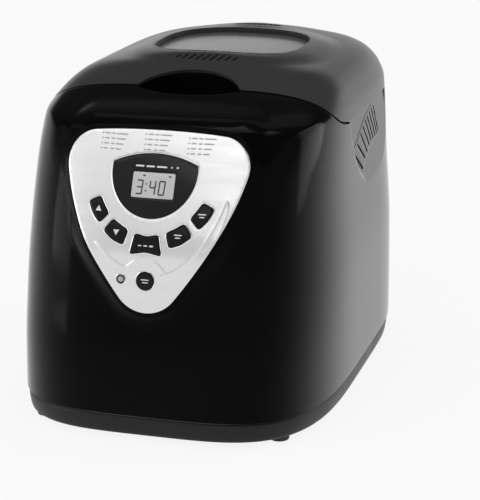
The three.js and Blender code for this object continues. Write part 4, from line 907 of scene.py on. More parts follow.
# turn and half sweep in degrees, outer radius, and how far the outer edge is hollowed
BUTTONS = {
    "button_time_up": (-54.0, 9.0, 61.5, -0.8),
    "button_time_down": (-28.5, 9.5, 62.5, -0.8),
    "button_loaf_size": (0.0, 11.6, 67.6, 4.2),
    "button_options": (28.5, 9.5, 62.5, -0.8),
    "button_crust": (54.0, 9.0, 61.5, -0.8),
}
START_Z, START_R = 143.3, 7.5
LIGHT_X, LIGHT_R = -21.6, 3.6
LENS_DEPTH, SCREEN_DEPTH = 0.5, 0.75
CREASE_HEIGHTS, CREASE_WIDTH = (0.6, 0.5, 0.28), 0.75
CREASES = [
    [(-44, 172), (-38, 165), (-31, 159.5), (-24.5, 155.5), (-18.5, 152.6), (-14.5, 156), (-9, 160.4),
     (0, 162), (8, 160.2), (13.5, 155.5), (17.5, 150)],
    [(14.5, 148.6), (25, 153), (36.5, 162), (46, 172.5), (53, 184), (58.5, 196), (62.8, 208.5)],
    [(49.5, 172), (52.5, 172.4), (59, 182), (63.6, 195), (66.2, 208.5), (63.8, 210.5)],
]


def on_panel(points, depth):
    """Places (across, height) points on the panel face, pushed in square to it."""
    x, z = points.T
    lean = PANEL_TILT * eased(np.clip((z - 153) / 10, 0, 1))
    return np.column_stack([x, face_y(x, z) + depth * np.cos(lean), z - depth * np.sin(lean)])


def sunk(shift):
    """A placing on the panel face, moved in by a shift."""
    return lambda points, depth: on_panel(points, depth + shift)


def dome_at(points, centre, radius):
    """One at a centre, falling to nothing at a radius."""
    return np.clip(1 - (np.linalg.norm(points - centre, axis=1) / radius) ** 2, 0, 1)


def smooth_path(path, step):
    path = np.array(path, float)
    run = run_of(path)
    at = np.linspace(0, run[-1], max(int(run[-1] / step), 3))
    line = np.column_stack([np.interp(at, run, path[:, k]) for k in (0, 1)])
    for _ in range(6):
        line[1:-1] = (line[:-2] + line[1:-1] * 2 + line[2:]) / 4
    return line


def crease_height(points):
    height = np.zeros(len(points))
    for path, rise in zip(CREASES, CREASE_HEIGHTS):
        gap = path_gap(points, smooth_path(path, 1.5))
        height = np.maximum(height, rise * np.exp(-((gap / CREASE_WIDTH) ** 2)))
    return height


def crease_points():
    """Rows of points along the creases that let the plate follow them."""
    rows = []
    for path in CREASES:
        line = smooth_path(path, 0.9)
        along = np.gradient(line, axis=0)
        along /= np.linalg.norm(along, axis=1, keepdims=True)
        side = np.column_stack([-along[:, 1], along[:, 0]])
        rows += [line + side * shift for shift in (-1.7, -1.1, -0.6, 0, 0.6, 1.1, 1.7)]
    points = np.vstack(rows)
    keep = []
    for k, point in enumerate(points):
        if not keep or ((points[keep] - point) ** 2).sum(axis=1).min() > 0.16:
            keep.append(k)
    return points[keep]


def circle(x, z, radius, step=0.9):
    return evenly(arc(x, z, radius, 0, 358, 120), step)


def on_dial(radius, angle):
    """A point round the display's centre; angle 0 is straight down."""
    lean = math.radians(angle - 90)
    return radius * math.cos(lean), DIAL_Z + radius * math.sin(lean)


def button_outline(name, grow=0.0):
    turn, sweep, outer, hollow = BUTTONS[name]
    spread = sweep + math.degrees(grow / BUTTON_LINE)
    inner, outer = BUTTON_INNER - grow, outer + grow
    corners = ((inner, -spread), (inner + hollow * 0.3, 0), (inner, spread), (outer, spread),
               (outer - hollow, 0), (outer, -spread))
    return evenly(rounded([on_dial(radius, turn + angle) for radius, angle in corners], 3.2), 0.8)


def display_outline(grow=0.0):
    centre = CROWN_Z - CROWN_R - DIAL_Z
    crown, radius = CROWN_R + grow, DISPLAY_R + grow
    meet_z = (crown**2 - radius**2 - centre**2) / (-2 * centre)
    meet_x = math.sqrt(radius**2 - meet_z**2)
    side = math.degrees(math.atan2(meet_z, meet_x))
    upper = math.degrees(math.atan2(meet_z - centre, meet_x))
    lower_arc = arc(0, DIAL_Z, radius, 180 - side, 360 + side, 120)
    upper_arc = arc(0, DIAL_Z + centre, crown, upper, 180 - upper, 60)
    return evenly(rounded(evenly(np.vstack([lower_arc, upper_arc[1:-1]]), 1.0), 0.9, 3), 0.9)


def panel_holes():
    holes = [display_outline()] + [button_outline(name, BUTTON_GAP) for name in BUTTONS]
    return holes + [circle(0, START_Z, START_R + BUTTON_GAP), circle(LIGHT_X, START_Z, LIGHT_R + 0.3)]


def fascia_skin():
    def place(points, depth):
        return on_panel(points, depth - np.where(depth < 0.5, crease_height(points), 0))

    skin = Skin()
    plate(skin, shield_outline(**FASCIA), panel_holes(), place, step=2.0, edge=0.6, back=5.0, rounds=4,
          extra=crease_points())
    return skin


def panel_rims_skin():
    """Bright raised rims round the openings of the panel."""
    skin = Skin()
    for k, hole in enumerate(panel_holes()):
        outline = anticlockwise(evenly(hole, 0.6))
        high = 0.3 if k == 0 else 0.55
        section = ((0.0, 1.8), (0.0, -high * 0.4), (0.12, -high * 0.85), (0.35, -high), (0.62, -high * 0.85),
                   (0.85, -high * 0.3), (1.0, 0.25), (1.0, 1.8))
        rings = [(offset(outline, grow), depth) for grow, depth in section]
        skin.tube([on_panel(ring, np.full(len(ring), depth)) for ring, depth in rings])
    return skin


def button_skin(name):
    outline = button_outline(name)
    middle = outline.mean(axis=0)

    def place(points, depth):
        swell = BUTTON_SWELL * np.where(depth < 0.5, dome_at(points, middle, 9.0) - 1, -1)
        return on_panel(points, depth - BUTTON_PROUD - swell)

    skin = Skin()
    plate(skin, outline, [], place, step=1.6, edge=1.1, depth=BUTTON_DEPTH, rounds=5)
    plate(skin, button_outline(name, FLANGE_GROW), [], sunk(FLANGE_DEPTH), step=3.0, edge=0.2, depth=1.6,
          rounds=2)
    return skin


def upright(x, shift, bowl=(0.0, 1.0), power=1.0):
    """A placing on the flat foot of the panel, moved by a shift, its top bowed by a depth over a radius."""
    face, (deep, radius) = float(face_y(x, START_Z)) + shift, bowl

    def place(points, depth):
        bend = deep * dome_at(points, (x, START_Z), radius) ** power
        return np.column_stack([points[:, 0], face + depth + np.where(depth < 0.3, bend, 0), points[:, 1]])

    return place


START_DISH, LIGHT_DOME = (0.5, 6.6), (-0.7, LIGHT_R + 0.2)


def start_button_skin():
    skin = Skin()
    plate(skin, circle(0, START_Z, START_R), [], upright(0.0, -BUTTON_PROUD, START_DISH), step=1.3, edge=0.9,
          depth=7.0, rounds=5)
    plate(skin, circle(0, START_Z, START_R + FLANGE_GROW), [], upright(0.0, 3.3), step=3.0, edge=0.2,
          depth=1.4, rounds=2)
    return skin


def power_light_skin():
    skin = Skin()
    plate(skin, circle(LIGHT_X, START_Z, LIGHT_R - 1.0, 0.5), [], upright(LIGHT_X, -0.2, LIGHT_DOME, 0.5),
          step=0.9, edge=0.35, depth=7.5, rounds=4)
    return skin


def power_ring_skin():
    """Dark collar round the power light."""
    face = float(face_y(LIGHT_X, START_Z))
    section = ((2.75, 6.0), (2.75, -0.1), (2.85, -0.35), (3.1, -0.45), (3.35, -0.35), (3.5, -0.1), (3.5, 6.0))
    skin = Skin()
    skin.tube([np.column_stack([LIGHT_X + c, face + depth, START_Z + s])
               for c, s, depth in rings_of(section, 48)])
    return skin


# ---------------------------------------------------------------- display

LCD_HALF, LCD_LOW, LCD_HIGH = 18.5, 210.0, 230.0
FIGURE_LOW, FIGURE_START, FIGURE_SIZE, FIGURE_STEP, FIGURE_LEAN = 212.4, -14.8, 5.8, 8.1, 0.3
FIGURE_STROKE, COLON_HEIGHTS, COLON_STEP = 1.15, (3.2, 8.4), 3.2
STROKES_Z = 234.6
DISPLAY_STROKES = ((-13.2, 7.6), (-3.8, 7.4), (6.2, 9.0), (14.6, 1.2), (19.6, 2.0))
INK = 0.12
SEGMENTS = {"a": ((0.15, 1.9), (0.85, 1.9)), "b": ((0.9, 1.05), (0.9, 1.85)), "c": ((0.9, 0.15), (0.9, 0.95)),
            "d": ((0.15, 0.1), (0.85, 0.1)), "e": ((0.1, 0.15), (0.1, 0.95)), "f": ((0.1, 1.05), (0.1, 1.85)),
            "g": ((0.15, 1.0), (0.85, 1.0))}
DIGITS = {"0": "abcdef", "1": "bc", "2": "abged", "3": "abgcd", "4": "fgbc", "5": "afgcd", "6": "afgedc",
          "7": "abc", "8": "abcdefg", "9": "abfgcd"}


def lcd_outline(grow):
    middle, high = (LCD_LOW + LCD_HIGH) / 2, LCD_HIGH - LCD_LOW
    return evenly(rounded(rectangle(2 * (LCD_HALF + grow), high + 2 * grow, 0.0, middle), 1.2, 4), 0.8)


def on_lens(shift):
    """A placing on the swelling face of the display, moved in by a shift."""
    def place(points, depth):
        swell = np.where(depth < 1.0, 0.5 * dome_at(points, (0, DIAL_Z - 8), 37.0), 0)
        return on_panel(points, depth + shift - swell)

    return place


def display_window_skin():
    skin = Skin()
    plate(skin, display_outline(-0.3), [lcd_outline(0.1)], on_lens(LENS_DEPTH), step=2.0, edge=0.4, depth=2.3,
          back=5.0)
    return skin


def display_module_skin():
    skin = Skin()
    plate(skin, lcd_outline(-0.05), [], on_lens(SCREEN_DEPTH), step=3.0, edge=0.15, depth=3.6, rounds=2)
    return skin


def inked(skin, ring, place):
    """A thin printed patch laid on a surface."""
    ring = np.array(ring, float)
    high, low = (skin.add(place(ring, np.full(len(ring), depth))) for depth in (0.0, INK))
    skin.faces += [tuple(high), tuple(low[::-1])]
    skin.bridge(high, low)


def bar_on(skin, x, z, wide, high, place):
    """A flat printed stroke."""
    inked(skin, evenly(rectangle(wide, high, x, z), 1.2), place)


def stroke(skin, a, b, wide, place):
    """A flat printed stroke with pointed ends."""
    a, b = np.array(a, float), np.array(b, float)
    along = (b - a) / np.linalg.norm(b - a) * wide / 2
    side = np.array([-along[1], along[0]])
    inked(skin, [a - along, a - side, b - side, b + along, b + side, a + side], place)


def digits_skin(text):
    """Seven-segment figures standing on the screen."""
    skin, place, at = Skin(), on_lens(SCREEN_DEPTH - 0.06), FIGURE_START
    for mark in text:
        if mark == ":":
            for z in COLON_HEIGHTS:
                stroke(skin, (at + 0.2, FIGURE_LOW + z), (at + 1.0, FIGURE_LOW + z), 1.1, place)
            at += COLON_STEP
            continue
        for segment in DIGITS[mark]:
            ends = [(at + x * FIGURE_SIZE + z * FIGURE_LEAN, FIGURE_LOW + z * FIGURE_SIZE)
                    for x, z in SEGMENTS[segment]]
            stroke(skin, *ends, FIGURE_STROKE, place)
        at += FIGURE_STEP
    for x in (-8.5, 14.0):
        stroke(skin, (x - 0.8, 227.4), (x + 0.8, 227.4), 1.2, place)
    return skin


def display_marks():
    skin = Skin()
    for x, wide in DISPLAY_STROKES:
        bar_on(skin, x, STROKES_Z, wide, 1.3, on_lens(LENS_DEPTH - 0.05))
    return skin


def button_marks(name):
    """Plain strokes and pointers, one kind to a button."""
    turn, outer = BUTTONS[name][0], BUTTONS[name][2]
    x, z = on_dial((BUTTON_INNER + outer) / 2, turn)
    skin, place = Skin(), sunk(-MARK_PROUD)
    if name == "button_time_up":
        inked(skin, [(x - 2.6, z - 1.8), (x + 2.6, z - 1.8), (x, z + 2.6)], place)
    elif name == "button_time_down":
        inked(skin, [(x - 2.6, z + 1.8), (x, z - 2.6), (x + 2.6, z + 1.8)], place)
    elif name == "button_loaf_size":
        for shift in (-1, 0, 1):
            bar_on(skin, x + 5 * shift, z + 0.3, 3.2, 1.1 + 0.25 * shift, sunk(-MARK_PROUD - 0.02))
    else:
        bar_on(skin, x, z + 1.0, 7.0, 0.9, place)
        bar_on(skin, x, z - 1.2, 4.6, 0.9, place)
    return skin


def start_marks():
    skin, place = Skin(), upright(0.0, -MARK_PROUD, START_DISH)
    bar_on(skin, 0, START_Z + 1.2, 7.2, 0.9, place)
    bar_on(skin, 0, START_Z - 1.2, 5.0, 0.9, place)
    return skin


# ---------------------------------------------------------------- base and feet

# (height, inset) steps of the tray, and (radius, height) steps of a foot
BASE_RIM = 22.0
BASE_STACK = [(5.0, 6.0), (5.3, 4.4), (6.4, 3.2), (9.0, 2.5), (14.0, 1.8), (19.0, 1.5), (20.8, 1.5),
              (21.6, 1.9), (22.0, 2.8), (22.0, 4.4), (21.4, 4.9), (12.0, 5.6), (8.4, 7.2), (7.6, 9.0)]
FOOT_STACK = [(7.4, 0.0), (8.6, 0.6), (9.0, 1.8), (9.0, 5.4), (6.0, 5.8), (4.0, 6.0), (4.0, 11.0),
              (3.4, 11.6)]


def base_tray_skin():
    """A tray from (height, inset) steps, over a plan that stays as it is at the height of its rim."""
    turn = plan_turns(lambda x, y: np.where(y < -95, 2.4, 5.0))
    rows = []
    for z, inset in BASE_STACK:
        x, y = form_point(turn, np.full_like(turn, BASE_RIM), inset)
        rows.append(np.column_stack([x, y, np.full_like(x, z)]))
    skin = Skin()
    skin.grid(rows, closed=True)
    for row, down in ((rows[0], True), (rows[-1], False)):
        height = row[0, 2]
        skin.cover(anticlockwise(row[:, :2]), [], 14.0,
                   lambda p: np.column_stack([p, np.full(len(p), height)]), down)
    return skin


def foot_skin(x, y):
    skin = Skin()
    rings = [np.column_stack([x + c, y + s, z]) for c, s, z in rings_of(FOOT_STACK, 48)]
    skin.capped(rings, (x, y, FOOT_STACK[0][1]), (x, y, FOOT_STACK[-1][1]))
    return skin


# ---------------------------------------------------------------- stage

# camera angles in degrees, its distance and aim in millimetres
AZIMUTH, ELEVATION, DISTANCE, FOCAL = 16.49, 14.83, 1717.57, 1842.55
TARGET_Z, SHIFT_X, SHIFT_Y, FILM = 150.0, 0.05318, -0.07138, 500.0
FLOOR_GLOW, CEILING, FRONT_ROOM, ROOM_LIGHT = 0.88, 0.04, 0.75, 0.4
FLOOR_PALE, FLOOR_SHADE = (0.9, 0.9, 0.9), (0.88, 0.88, 0.88)

# name, place and aim in metres, width, height, power
LAMPS = (
    ("back_soft", (-0.1, 1.5, 2.5), (0.0, 0.0, 0.27), 2.8, 0.5, 0.6),
    ("right_soft", (2.2, 0.9, 1.0), (0.1, 0.1, 0.15), 1.6, 1.8, 16.0),
    ("front_soft", (-0.55, -1.75, 1.97), (0.0, -0.17, 0.24), 2.4, 1.05, 10.5),
    ("left_soft", (-1.75, -1.2, 0.35), (0.0, 0.0, 0.15), 0.9, 1.4, 11.0),
    ("top_soft", (0.2, -0.2, 3.2), (0.0, 0.0, 0.2), 1.6, 1.6, 14.0),
)


def stage_floor():
    """A pale floor that curves up into a backdrop behind the machine."""
    bend, rear = 700, 1200
    line = [(-4200.0, 0.0), (-800.0, 0.0), (rear, 0.0)]
    for t in np.linspace(0.1, math.pi / 2, 14):
        line.append((rear + bend * math.sin(t), bend - bend * math.cos(t)))
    line += [(rear + bend, bend + 100)]
    skin = Skin()
    skin.grid([np.array([(x, y, z - 0.4) for x in np.linspace(-4000, 4000, 9)]) for y, z in line])
    floor = skin.object("floor", recalc=False)
    assign(floor, floor_finish())
    return floor


def seen_rays(nodes, links):
    """One for rays from the camera and those that metal and glass pass on."""
    path = nodes.new("ShaderNodeLightPath")
    total = path.outputs["Is Camera Ray"]
    for name in ("Is Glossy Ray", "Is Transmission Ray"):
        either = node_of(nodes, "ShaderNodeMath", operation="MAXIMUM")
        links.new(total, either.inputs[0])
        links.new(path.outputs[name], either.inputs[1])
        total = either.outputs[0]
    return total


def two_ways(nodes, links, share, first, second, out):
    """Mixes two shaders by a share into an output."""
    mix = nodes.new("ShaderNodeMixShader")
    for source, socket in ((share, "Fac"), (first, 1), (second, 2)):
        links.new(source, mix.inputs[socket])
    links.new(mix.outputs["Shader"], out.inputs["Surface"])


def floor_finish():
    """Pale matt floor that reads as white and still takes a light shadow."""
    made, nodes, links, shader = material("pale floor", FLOOR_PALE, 0.8)
    cloud = noise_of(nodes, links, 1.5)
    links.new(mixed_color(nodes, links, cloud, FLOOR_PALE, FLOOR_SHADE), shader.inputs["Base Color"])
    glow = node_of(nodes, "ShaderNodeEmission", {"Color": (1, 1, 1, 1)})
    share = node_of(nodes, "ShaderNodeMath", {1: FLOOR_GLOW}, operation="MULTIPLY")
    links.new(seen_rays(nodes, links), share.inputs[0])
    two_ways(nodes, links, share.outputs[0], shader.outputs["BSDF"], glow.outputs["Emission"],
             nodes["Material Output"])
    return made


def set_world():
    """An even room for matt surfaces; gloss and glass see it bright low down and dark overhead."""
    world = bpy.data.worlds.new("studio")
    bpy.context.scene.world = world
    world.use_nodes = True
    nodes, links = world.node_tree.nodes, world.node_tree.links
    nodes.clear()
    out = nodes.new("ShaderNodeOutputWorld")
    soft = node_of(nodes, "ShaderNodeBackground", {"Color": (1, 1, 1, 1), "Strength": ROOM_LIGHT})
    clear = node_of(nodes, "ShaderNodeBackground", {"Color": (1, 1, 1, 1)})
    where, split = nodes.new("ShaderNodeTexCoord"), nodes.new("ShaderNodeSeparateXYZ")
    links.new(where.outputs["Generated"], split.inputs["Vector"])
    up = split.outputs["Z"]
    turn = node_of(nodes, "ShaderNodeMix", data_type="FLOAT")
    for value, socket in ((ramp_of(nodes, links, split.outputs["Y"], 0.0, 1.0, -0.5, 0.1), "Factor"),
                          (ramp_of(nodes, links, up, FRONT_ROOM, CEILING, 0.56, 0.6), "A"),
                          (ramp_of(nodes, links, up, 1.0, CEILING, 0.16, 0.34), "B")):
        links.new(value, turn.inputs[socket])
    links.new(turn.outputs["Result"], clear.inputs["Strength"])
    two_ways(nodes, links, seen_rays(nodes, links), soft.outputs["Background"], clear.outputs["Background"],
             out)


def aimed(name, data, place, target):
    """Stands a lamp or camera at a place, turned towards a target."""
    made = bpy.data.objects.new(name, data)
    bpy.context.collection.objects.link(made)
    made.location = place
    made.rotation_euler = (Vector(target) - Vector(place)).to_track_quat("-Z", "Y").to_euler()
    return made


def lamp(name, place, target, wide, high, power):
    light = bpy.data.lights.new(name, "AREA")
    light.shape = "RECTANGLE"
    light.size, light.size_y = wide, high
    light.energy = power
    return aimed(name, light, place, target)


def set_camera():
    a, e = math.radians(AZIMUTH), math.radians(ELEVATION)
    back = Vector((math.sin(a) * math.cos(e), -math.cos(a) * math.cos(e), math.sin(e)))
    target = Vector((0, 0, TARGET_Z * MM))
    data = bpy.data.cameras.new("camera")
    data.sensor_width = 36
    data.lens = FOCAL / FILM * data.sensor_width
    data.shift_x, data.shift_y = SHIFT_X, SHIFT_Y
    data.clip_end = 50
    made = aimed("camera", data, target + back * DISTANCE * MM, target)
    bpy.context.scene.camera = made
    return made


# ---------------------------------------------------------------- repeated parts

def bar_mesh(name, length, wide, thick, ease=0.2):
    """A small bar centred on its own origin, with eased top edges."""
    small = min(wide, length)
    ring = evenly(rounded(rectangle(length, wide), small * 0.3, 4), max(small * 0.2, 0.15))
    skin = Skin()
    plate(skin, ring, [], lambda p, d: np.column_stack([p, thick / 2 - d]), step=max(wide, 1.0),
          edge=min(ease, thick * 0.4), depth=thick, rounds=2)
    return skin.object(name)


def row_tree(finish):
    """Node tree that stands copies of a part in a row, each as turned and a little more stretched."""
    tree = bpy.data.node_groups.new("Row of parts", "GeometryNodeTree")
    for label, kind, value in (("Part", "Object", None), ("Count", "Int", 8), ("Start", "Vector", (0, 0, 0)),
                               ("Step", "Vector", (0.01, 0, 0)), ("Turn", "Vector", (0, 0, 0)),
                               ("Size", "Vector", (1, 1, 1)), ("Size Step", "Vector", (0, 0, 0))):
        socket = tree.interface.new_socket(label, in_out="INPUT", socket_type="NodeSocket" + kind)
        if value is not None:
            socket.default_value = value
    tree.interface.new_socket("Geometry", in_out="OUTPUT", socket_type="NodeSocketGeometry")
    nodes, links = tree.nodes, tree.links
    given, out = nodes.new("NodeGroupInput"), nodes.new("NodeGroupOutput")
    line, part, place, index, real = (nodes.new("GeometryNode" + kind) for kind in (
        "MeshLine", "ObjectInfo", "InstanceOnPoints", "InputIndex", "RealizeInstances"))
    paint = node_of(nodes, "GeometryNodeSetMaterial", {"Material": finish})
    grow = node_of(nodes, "ShaderNodeVectorMath", operation="MULTIPLY_ADD")
    for source, output, target, socket in (
            (given, "Part", part, "Object"), (given, "Count", line, "Count"),
            (given, "Start", line, "Start Location"), (given, "Step", line, "Offset"),
            (line, "Mesh", place, "Points"), (part, "Geometry", place, "Instance"),
            (given, "Turn", place, "Rotation"), (given, "Size Step", grow, 0), (index, "Index", grow, 1),
            (given, "Size", grow, 2), (grow, 0, place, "Scale"), (place, "Instances", real, "Geometry"),
            (real, "Geometry", paint, "Geometry"), (paint, "Geometry", out, "Geometry")):
        links.new(source.outputs[output], target.inputs[socket])
    return tree


def row_skin(tree, part, rows):
    """Runs the row tree once for each row and gathers the copies into one skin."""
    sockets = {item.name: item.identifier for item in tree.interface.items_tree if item.in_out == "INPUT"}
    gathered = Skin()
    for row in rows:
        holder = bpy.data.objects.new("row", bpy.data.meshes.new("row"))
        bpy.context.collection.objects.link(holder)
        modifier = holder.modifiers.new("Row", "NODES")
        modifier.node_group = tree
        for label, value in {"Part": part, **row}.items():
            modifier[sockets[label]] = value
        holder.update_tag()
        graph = bpy.context.evaluated_depsgraph_get()
        made = bpy.data.meshes.new_from_object(holder.evaluated_get(graph), depsgraph=graph)
        points = np.empty(len(made.vertices) * 3)
        made.vertices.foreach_get("co", points)
        index = gathered.add(points.reshape(-1, 3) / MM)
        gathered.faces += [tuple(int(index[v]) for v in face.vertices) for face in made.polygons]
        bpy.data.objects.remove(holder)
        bpy.data.meshes.remove(made)
    return gathered


def remove_part(part):
    mesh = part.data
    bpy.data.objects.remove(part)
    bpy.data.meshes.remove(mesh)


# ---------------------------------------------------------------- sizes and colours a user can change

def colour(name, description, default):
    return bpy.props.FloatVectorProperty(name=name, description=description, subtype="COLOR", size=3, min=0,
                                         max=1, default=default)


class BreadMachineColours(bpy.types.PropertyGroup):
    housing: colour("Housing", "Colour of the moulded housing", (0.0022, 0.0022, 0.0022))
    lid: colour("Lid", "Colour of the moulded lid", (0.04, 0.04, 0.04))
    base: colour("Base", "Colour of the satin base tray", (0.009, 0.009, 0.009))
    panel: colour("Panel", "Colour of the metal control panel", (0.74, 0.74, 0.74))
    marks: colour("Marks", "Colour of the marks on the buttons and display", (0.85, 0.86, 0.88))
    screen: colour("Screen", "Colour of the unlit display", (0.62, 0.63, 0.62))
    window: colour("Window", "Tint of the lid window", (0.2, 0.2, 0.2))


class BreadMachineSizes(bpy.types.PropertyGroup):
    slat_count: bpy.props.IntProperty(
        name="Louvres", description="Louvres behind each side vent", default=9, min=2, max=30)
    list_lines: bpy.props.IntProperty(
        name="List lines", description="Printed lines in each list over the display", default=4, min=1, max=6)
    list_width: bpy.props.FloatProperty(
        name="List width", description="Width of a printed list line", default=0.026, min=0.01, max=0.034,
        unit="LENGTH")
    figures: bpy.props.StringProperty(
        name="Figures", description="Digits shown on the display", default="3:40", maxlen=5)


def sizes():
    return bpy.context.scene.bread_machine_sizes


# ---------------------------------------------------------------- finishes

# material name, colour or the name of a user's colour, second colour or how much brighter it is,
# roughness, how far it varies, scale of the variation, and what else the finish has
FINISH_TABLE = {
    "housing": ("housing gloss", "housing", 1.4, 0.13, 0.02, 9, dict(Specular_Tint=(0.06, 0.06, 0.06, 1))),
    "lid": ("lid gloss", "lid", 1.15, 0.3, 0.02, 9, dict(Specular_Tint=(0.12, 0.12, 0.12, 1))),
    "base": ("base satin", "base", 1.3, 0.42, 0.05, 30,
             dict(bump=0.03, bump_scale=900.0, Specular_IOR_Level=0.25)),
    "panel": ("panel metal", "panel", 0.97, 0.24, 0.03, 14,
              dict(metallic=1.0, bump=0.003, stretch=(1, 1, 9), bump_scale=400.0)),
    "rim": ("rim metal", (0.78, 0.78, 0.79), (0.72, 0.72, 0.73), 0.16, 0.03, 40, dict(metallic=1.0)),
    "button": ("button gloss", "housing", 1.4, 0.16, 0.02, 60, dict(Specular_IOR_Level=0.2)),
    "mark": ("mark ink", "marks", 0.93, 0.45, 0.05, 200, {}),
    "print": ("list ink", (0.5, 0.5, 0.51), (0.45, 0.45, 0.46), 0.5, 0.05, 200, {}),
    "digit": ("digit ink", (0.02, 0.022, 0.024), (0.03, 0.03, 0.032), 0.35, 0.05, 200, {}),
    "screen": ("screen grey", "screen", 0.94, 0.16, 0.03, 60, dict(Coat_Weight=0.5, Coat_Roughness=0.02)),
    "lens": ("display lens", (0.004, 0.004, 0.004), (0.006, 0.006, 0.006), 0.1, 0.02, 20,
             dict(Specular_IOR_Level=0.25)),
    "light": ("light lens", (0.75, 0.78, 0.76), (0.6, 0.62, 0.6), 0.12, 0.03, 90,
              dict(Transmission_Weight=0.35, IOR=1.45)),
    "window": ("window smoke", "window", 0.97, 0.24, 0.02, 6, dict(Transmission_Weight=0.45, IOR=1.47)),
    "rubber": ("foot rubber", (0.03, 0.03, 0.03), (0.045, 0.045, 0.045), 0.8, 0.06, 80, dict(bump=0.05)),
    "steel": ("oven steel", (0.42, 0.42, 0.43), (0.36, 0.36, 0.37), 0.34, 0.06, 20,
              dict(metallic=1.0, bump=0.01, stretch=(1, 1, 10), bump_scale=300.0)),
    "liner": ("liner steel", (0.5, 0.5, 0.51), (0.44, 0.44, 0.45), 0.28, 0.05, 16,
              dict(metallic=1.0, bump=0.006, bump_scale=350.0)),
    "pin": ("pin steel", (0.6, 0.6, 0.61), (0.52, 0.52, 0.53), 0.22, 0.04, 40, dict(metallic=1.0)),
    "board": ("board green", (0.02, 0.11, 0.05), (0.03, 0.14, 0.07), 0.4, 0.05, 90, {}),
    "gasket": ("gasket silicone", (0.09, 0.09, 0.095), (0.12, 0.12, 0.125), 0.6, 0.05, 60, {}),
    "sheath": ("element sheath", (0.2, 0.18, 0.17), (0.13, 0.12, 0.12), 0.45, 0.08, 60,
               dict(metallic=0.9, bump=0.02)),
    "ceramic": ("bush ceramic", (0.75, 0.72, 0.66), (0.68, 0.65, 0.6), 0.55, 0.05, 90, dict(bump=0.02)),
    "coating": ("pan coating", (0.035, 0.035, 0.038), (0.055, 0.055, 0.058), 0.4, 0.06, 60,
                dict(metallic=0.3, bump=0.02, bump_scale=700.0)),
    "brass": ("bush brass", (0.62, 0.44, 0.16), (0.5, 0.35, 0.12), 0.3, 0.06, 60, dict(metallic=1.0)),
    "alloy": ("cast alloy", (0.48, 0.48, 0.49), (0.4, 0.4, 0.41), 0.45, 0.06, 60,
              dict(metallic=0.9, bump=0.05, bump_scale=500.0)),
    "nylon": ("pulley nylon", (0.7, 0.69, 0.65), (0.62, 0.61, 0.58), 0.5, 0.05, 60, {}),
    "belt": ("belt rubber", (0.02, 0.02, 0.02), (0.035, 0.035, 0.035), 0.7, 0.06, 90, dict(bump=0.04)),
    "motor": ("motor shell", (0.3, 0.3, 0.31), (0.24, 0.24, 0.25), 0.4, 0.06, 40, dict(metallic=0.8)),
    "can": ("capacitor case", (0.08, 0.1, 0.16), (0.1, 0.12, 0.19), 0.45, 0.05, 60, {}),
}
INNER = {
    "pin": ["hinge_pin_left", "hinge_pin_right", "pan_handle", "pan_spindle", "drive_shaft", "motor_shaft"],
    "rubber": ["cord_gland"],
    "liner": ["lid_liner"],
    "gasket": ["lid_gasket"],
    "board": ["control_board", "power_board"],
    "steel": ["oven_chamber", "chassis", "motor_bracket", "thermal_fuse", "temperature_sensor", "pan_seat"],
    "sheath": ["heating_element"],
    "ceramic": ["element_bush_left", "element_bush_right"],
    "coating": ["bread_pan", "kneading_paddle"],
    "brass": ["pan_bush"],
    "alloy": ["pan_foot", "pan_coupling", "drive_coupler", "bearing_housing"],
    "nylon": ["large_pulley", "motor_pulley"],
    "belt": ["drive_belt"],
    "motor": ["motor_body"],
    "can": ["motor_capacitor"],
}
FINISH = {}


def finishes():
    """Every finish once, made on first use."""
    if not FINISH:
        given = bpy.context.scene.bread_machine_colours
        for key, (name, color, shade, roughness, spread, scale, others) in FINISH_TABLE.items():
            if isinstance(color, str):
                color = tuple(getattr(given, color))
                shade = tuple(v * shade for v in color)
            FINISH[key] = surfaced(name, color, shade, roughness, spread, float(scale), **others)
    return FINISH


# ---------------------------------------------------------------- operators

LOUVRE_SIZE, LOUVRE_START, LOUVRE_RUN, LOUVRE_RISE = (24, 9.0, 1.0), (127.2, 12, 209), 89.0, 2.4
LIST_CENTRES, LIST_TOP, LIST_DROP, LIST_SPACE, LIST_HIGH = (-38.0, 1.0, 39.0), 259.4, 4.0, 1.0, 1.25
# share of a list line's width that each stroke takes, and how much shorter it gets from line to line
LIST_WORDS = ((0.06, 0.0), (0.2, 0.012), (0.14, 0.0), (0.4, 0.06))
FOOT_PLACES = {"front_left": (-106, -160), "front_right": (106, -160),
               "rear_left": (-106, 165), "rear_right": (106, 165)}


def done(operator, made):
    """Ends an operator, or stops the script where it made nothing."""
    if not made:
        raise RuntimeError(operator.bl_label + " made nothing")
    return {"FINISHED"}


class MakeHousing(bpy.types.Operator):
    """Moulds the housing with its panel boss, side scoops and finger dish"""
    bl_idname, bl_label, bl_options = "bread_machine.housing", "Housing", {"REGISTER", "UNDO"}

    def execute(self, context):
        return done(self, finished(housing_skin(), "housing", "housing", "housing_gloss", "housing",
                                   "body_shell"))


class MakeSideVents(bpy.types.Operator):
    """Lays a slotted panel and its louvres in each flank"""
    bl_idname, bl_label, bl_options = "bread_machine.side_vents", "Side vents", {"REGISTER", "UNDO"}

    def execute(self, context):
        tree, louvre = row_tree(finishes()["housing"]), bar_mesh("louvre", *LOUVRE_SIZE)
        count = sizes().slat_count
        made = []
        for side, word in ((1, "right"), (-1, "left")):
            x, y, z = LOUVRE_START
            row = {"Count": count, "Start": Vector((side * x, y, z)) * MM,
                   "Step": Vector((-side * 0.25, LOUVRE_RUN / (count - 1), LOUVRE_RISE)) * MM,
                   "Turn": Vector([math.radians(v) for v in (-47, side * 70, 0)])}
            for name, skin in (("side_vent_", side_vent_skin(side)),
                               ("side_louvres_", row_skin(tree, louvre, [row]))):
                made.append(finished(skin, name + word, "housing", "housing_gloss", "housing"))
        remove_part(louvre)
        return done(self, made)


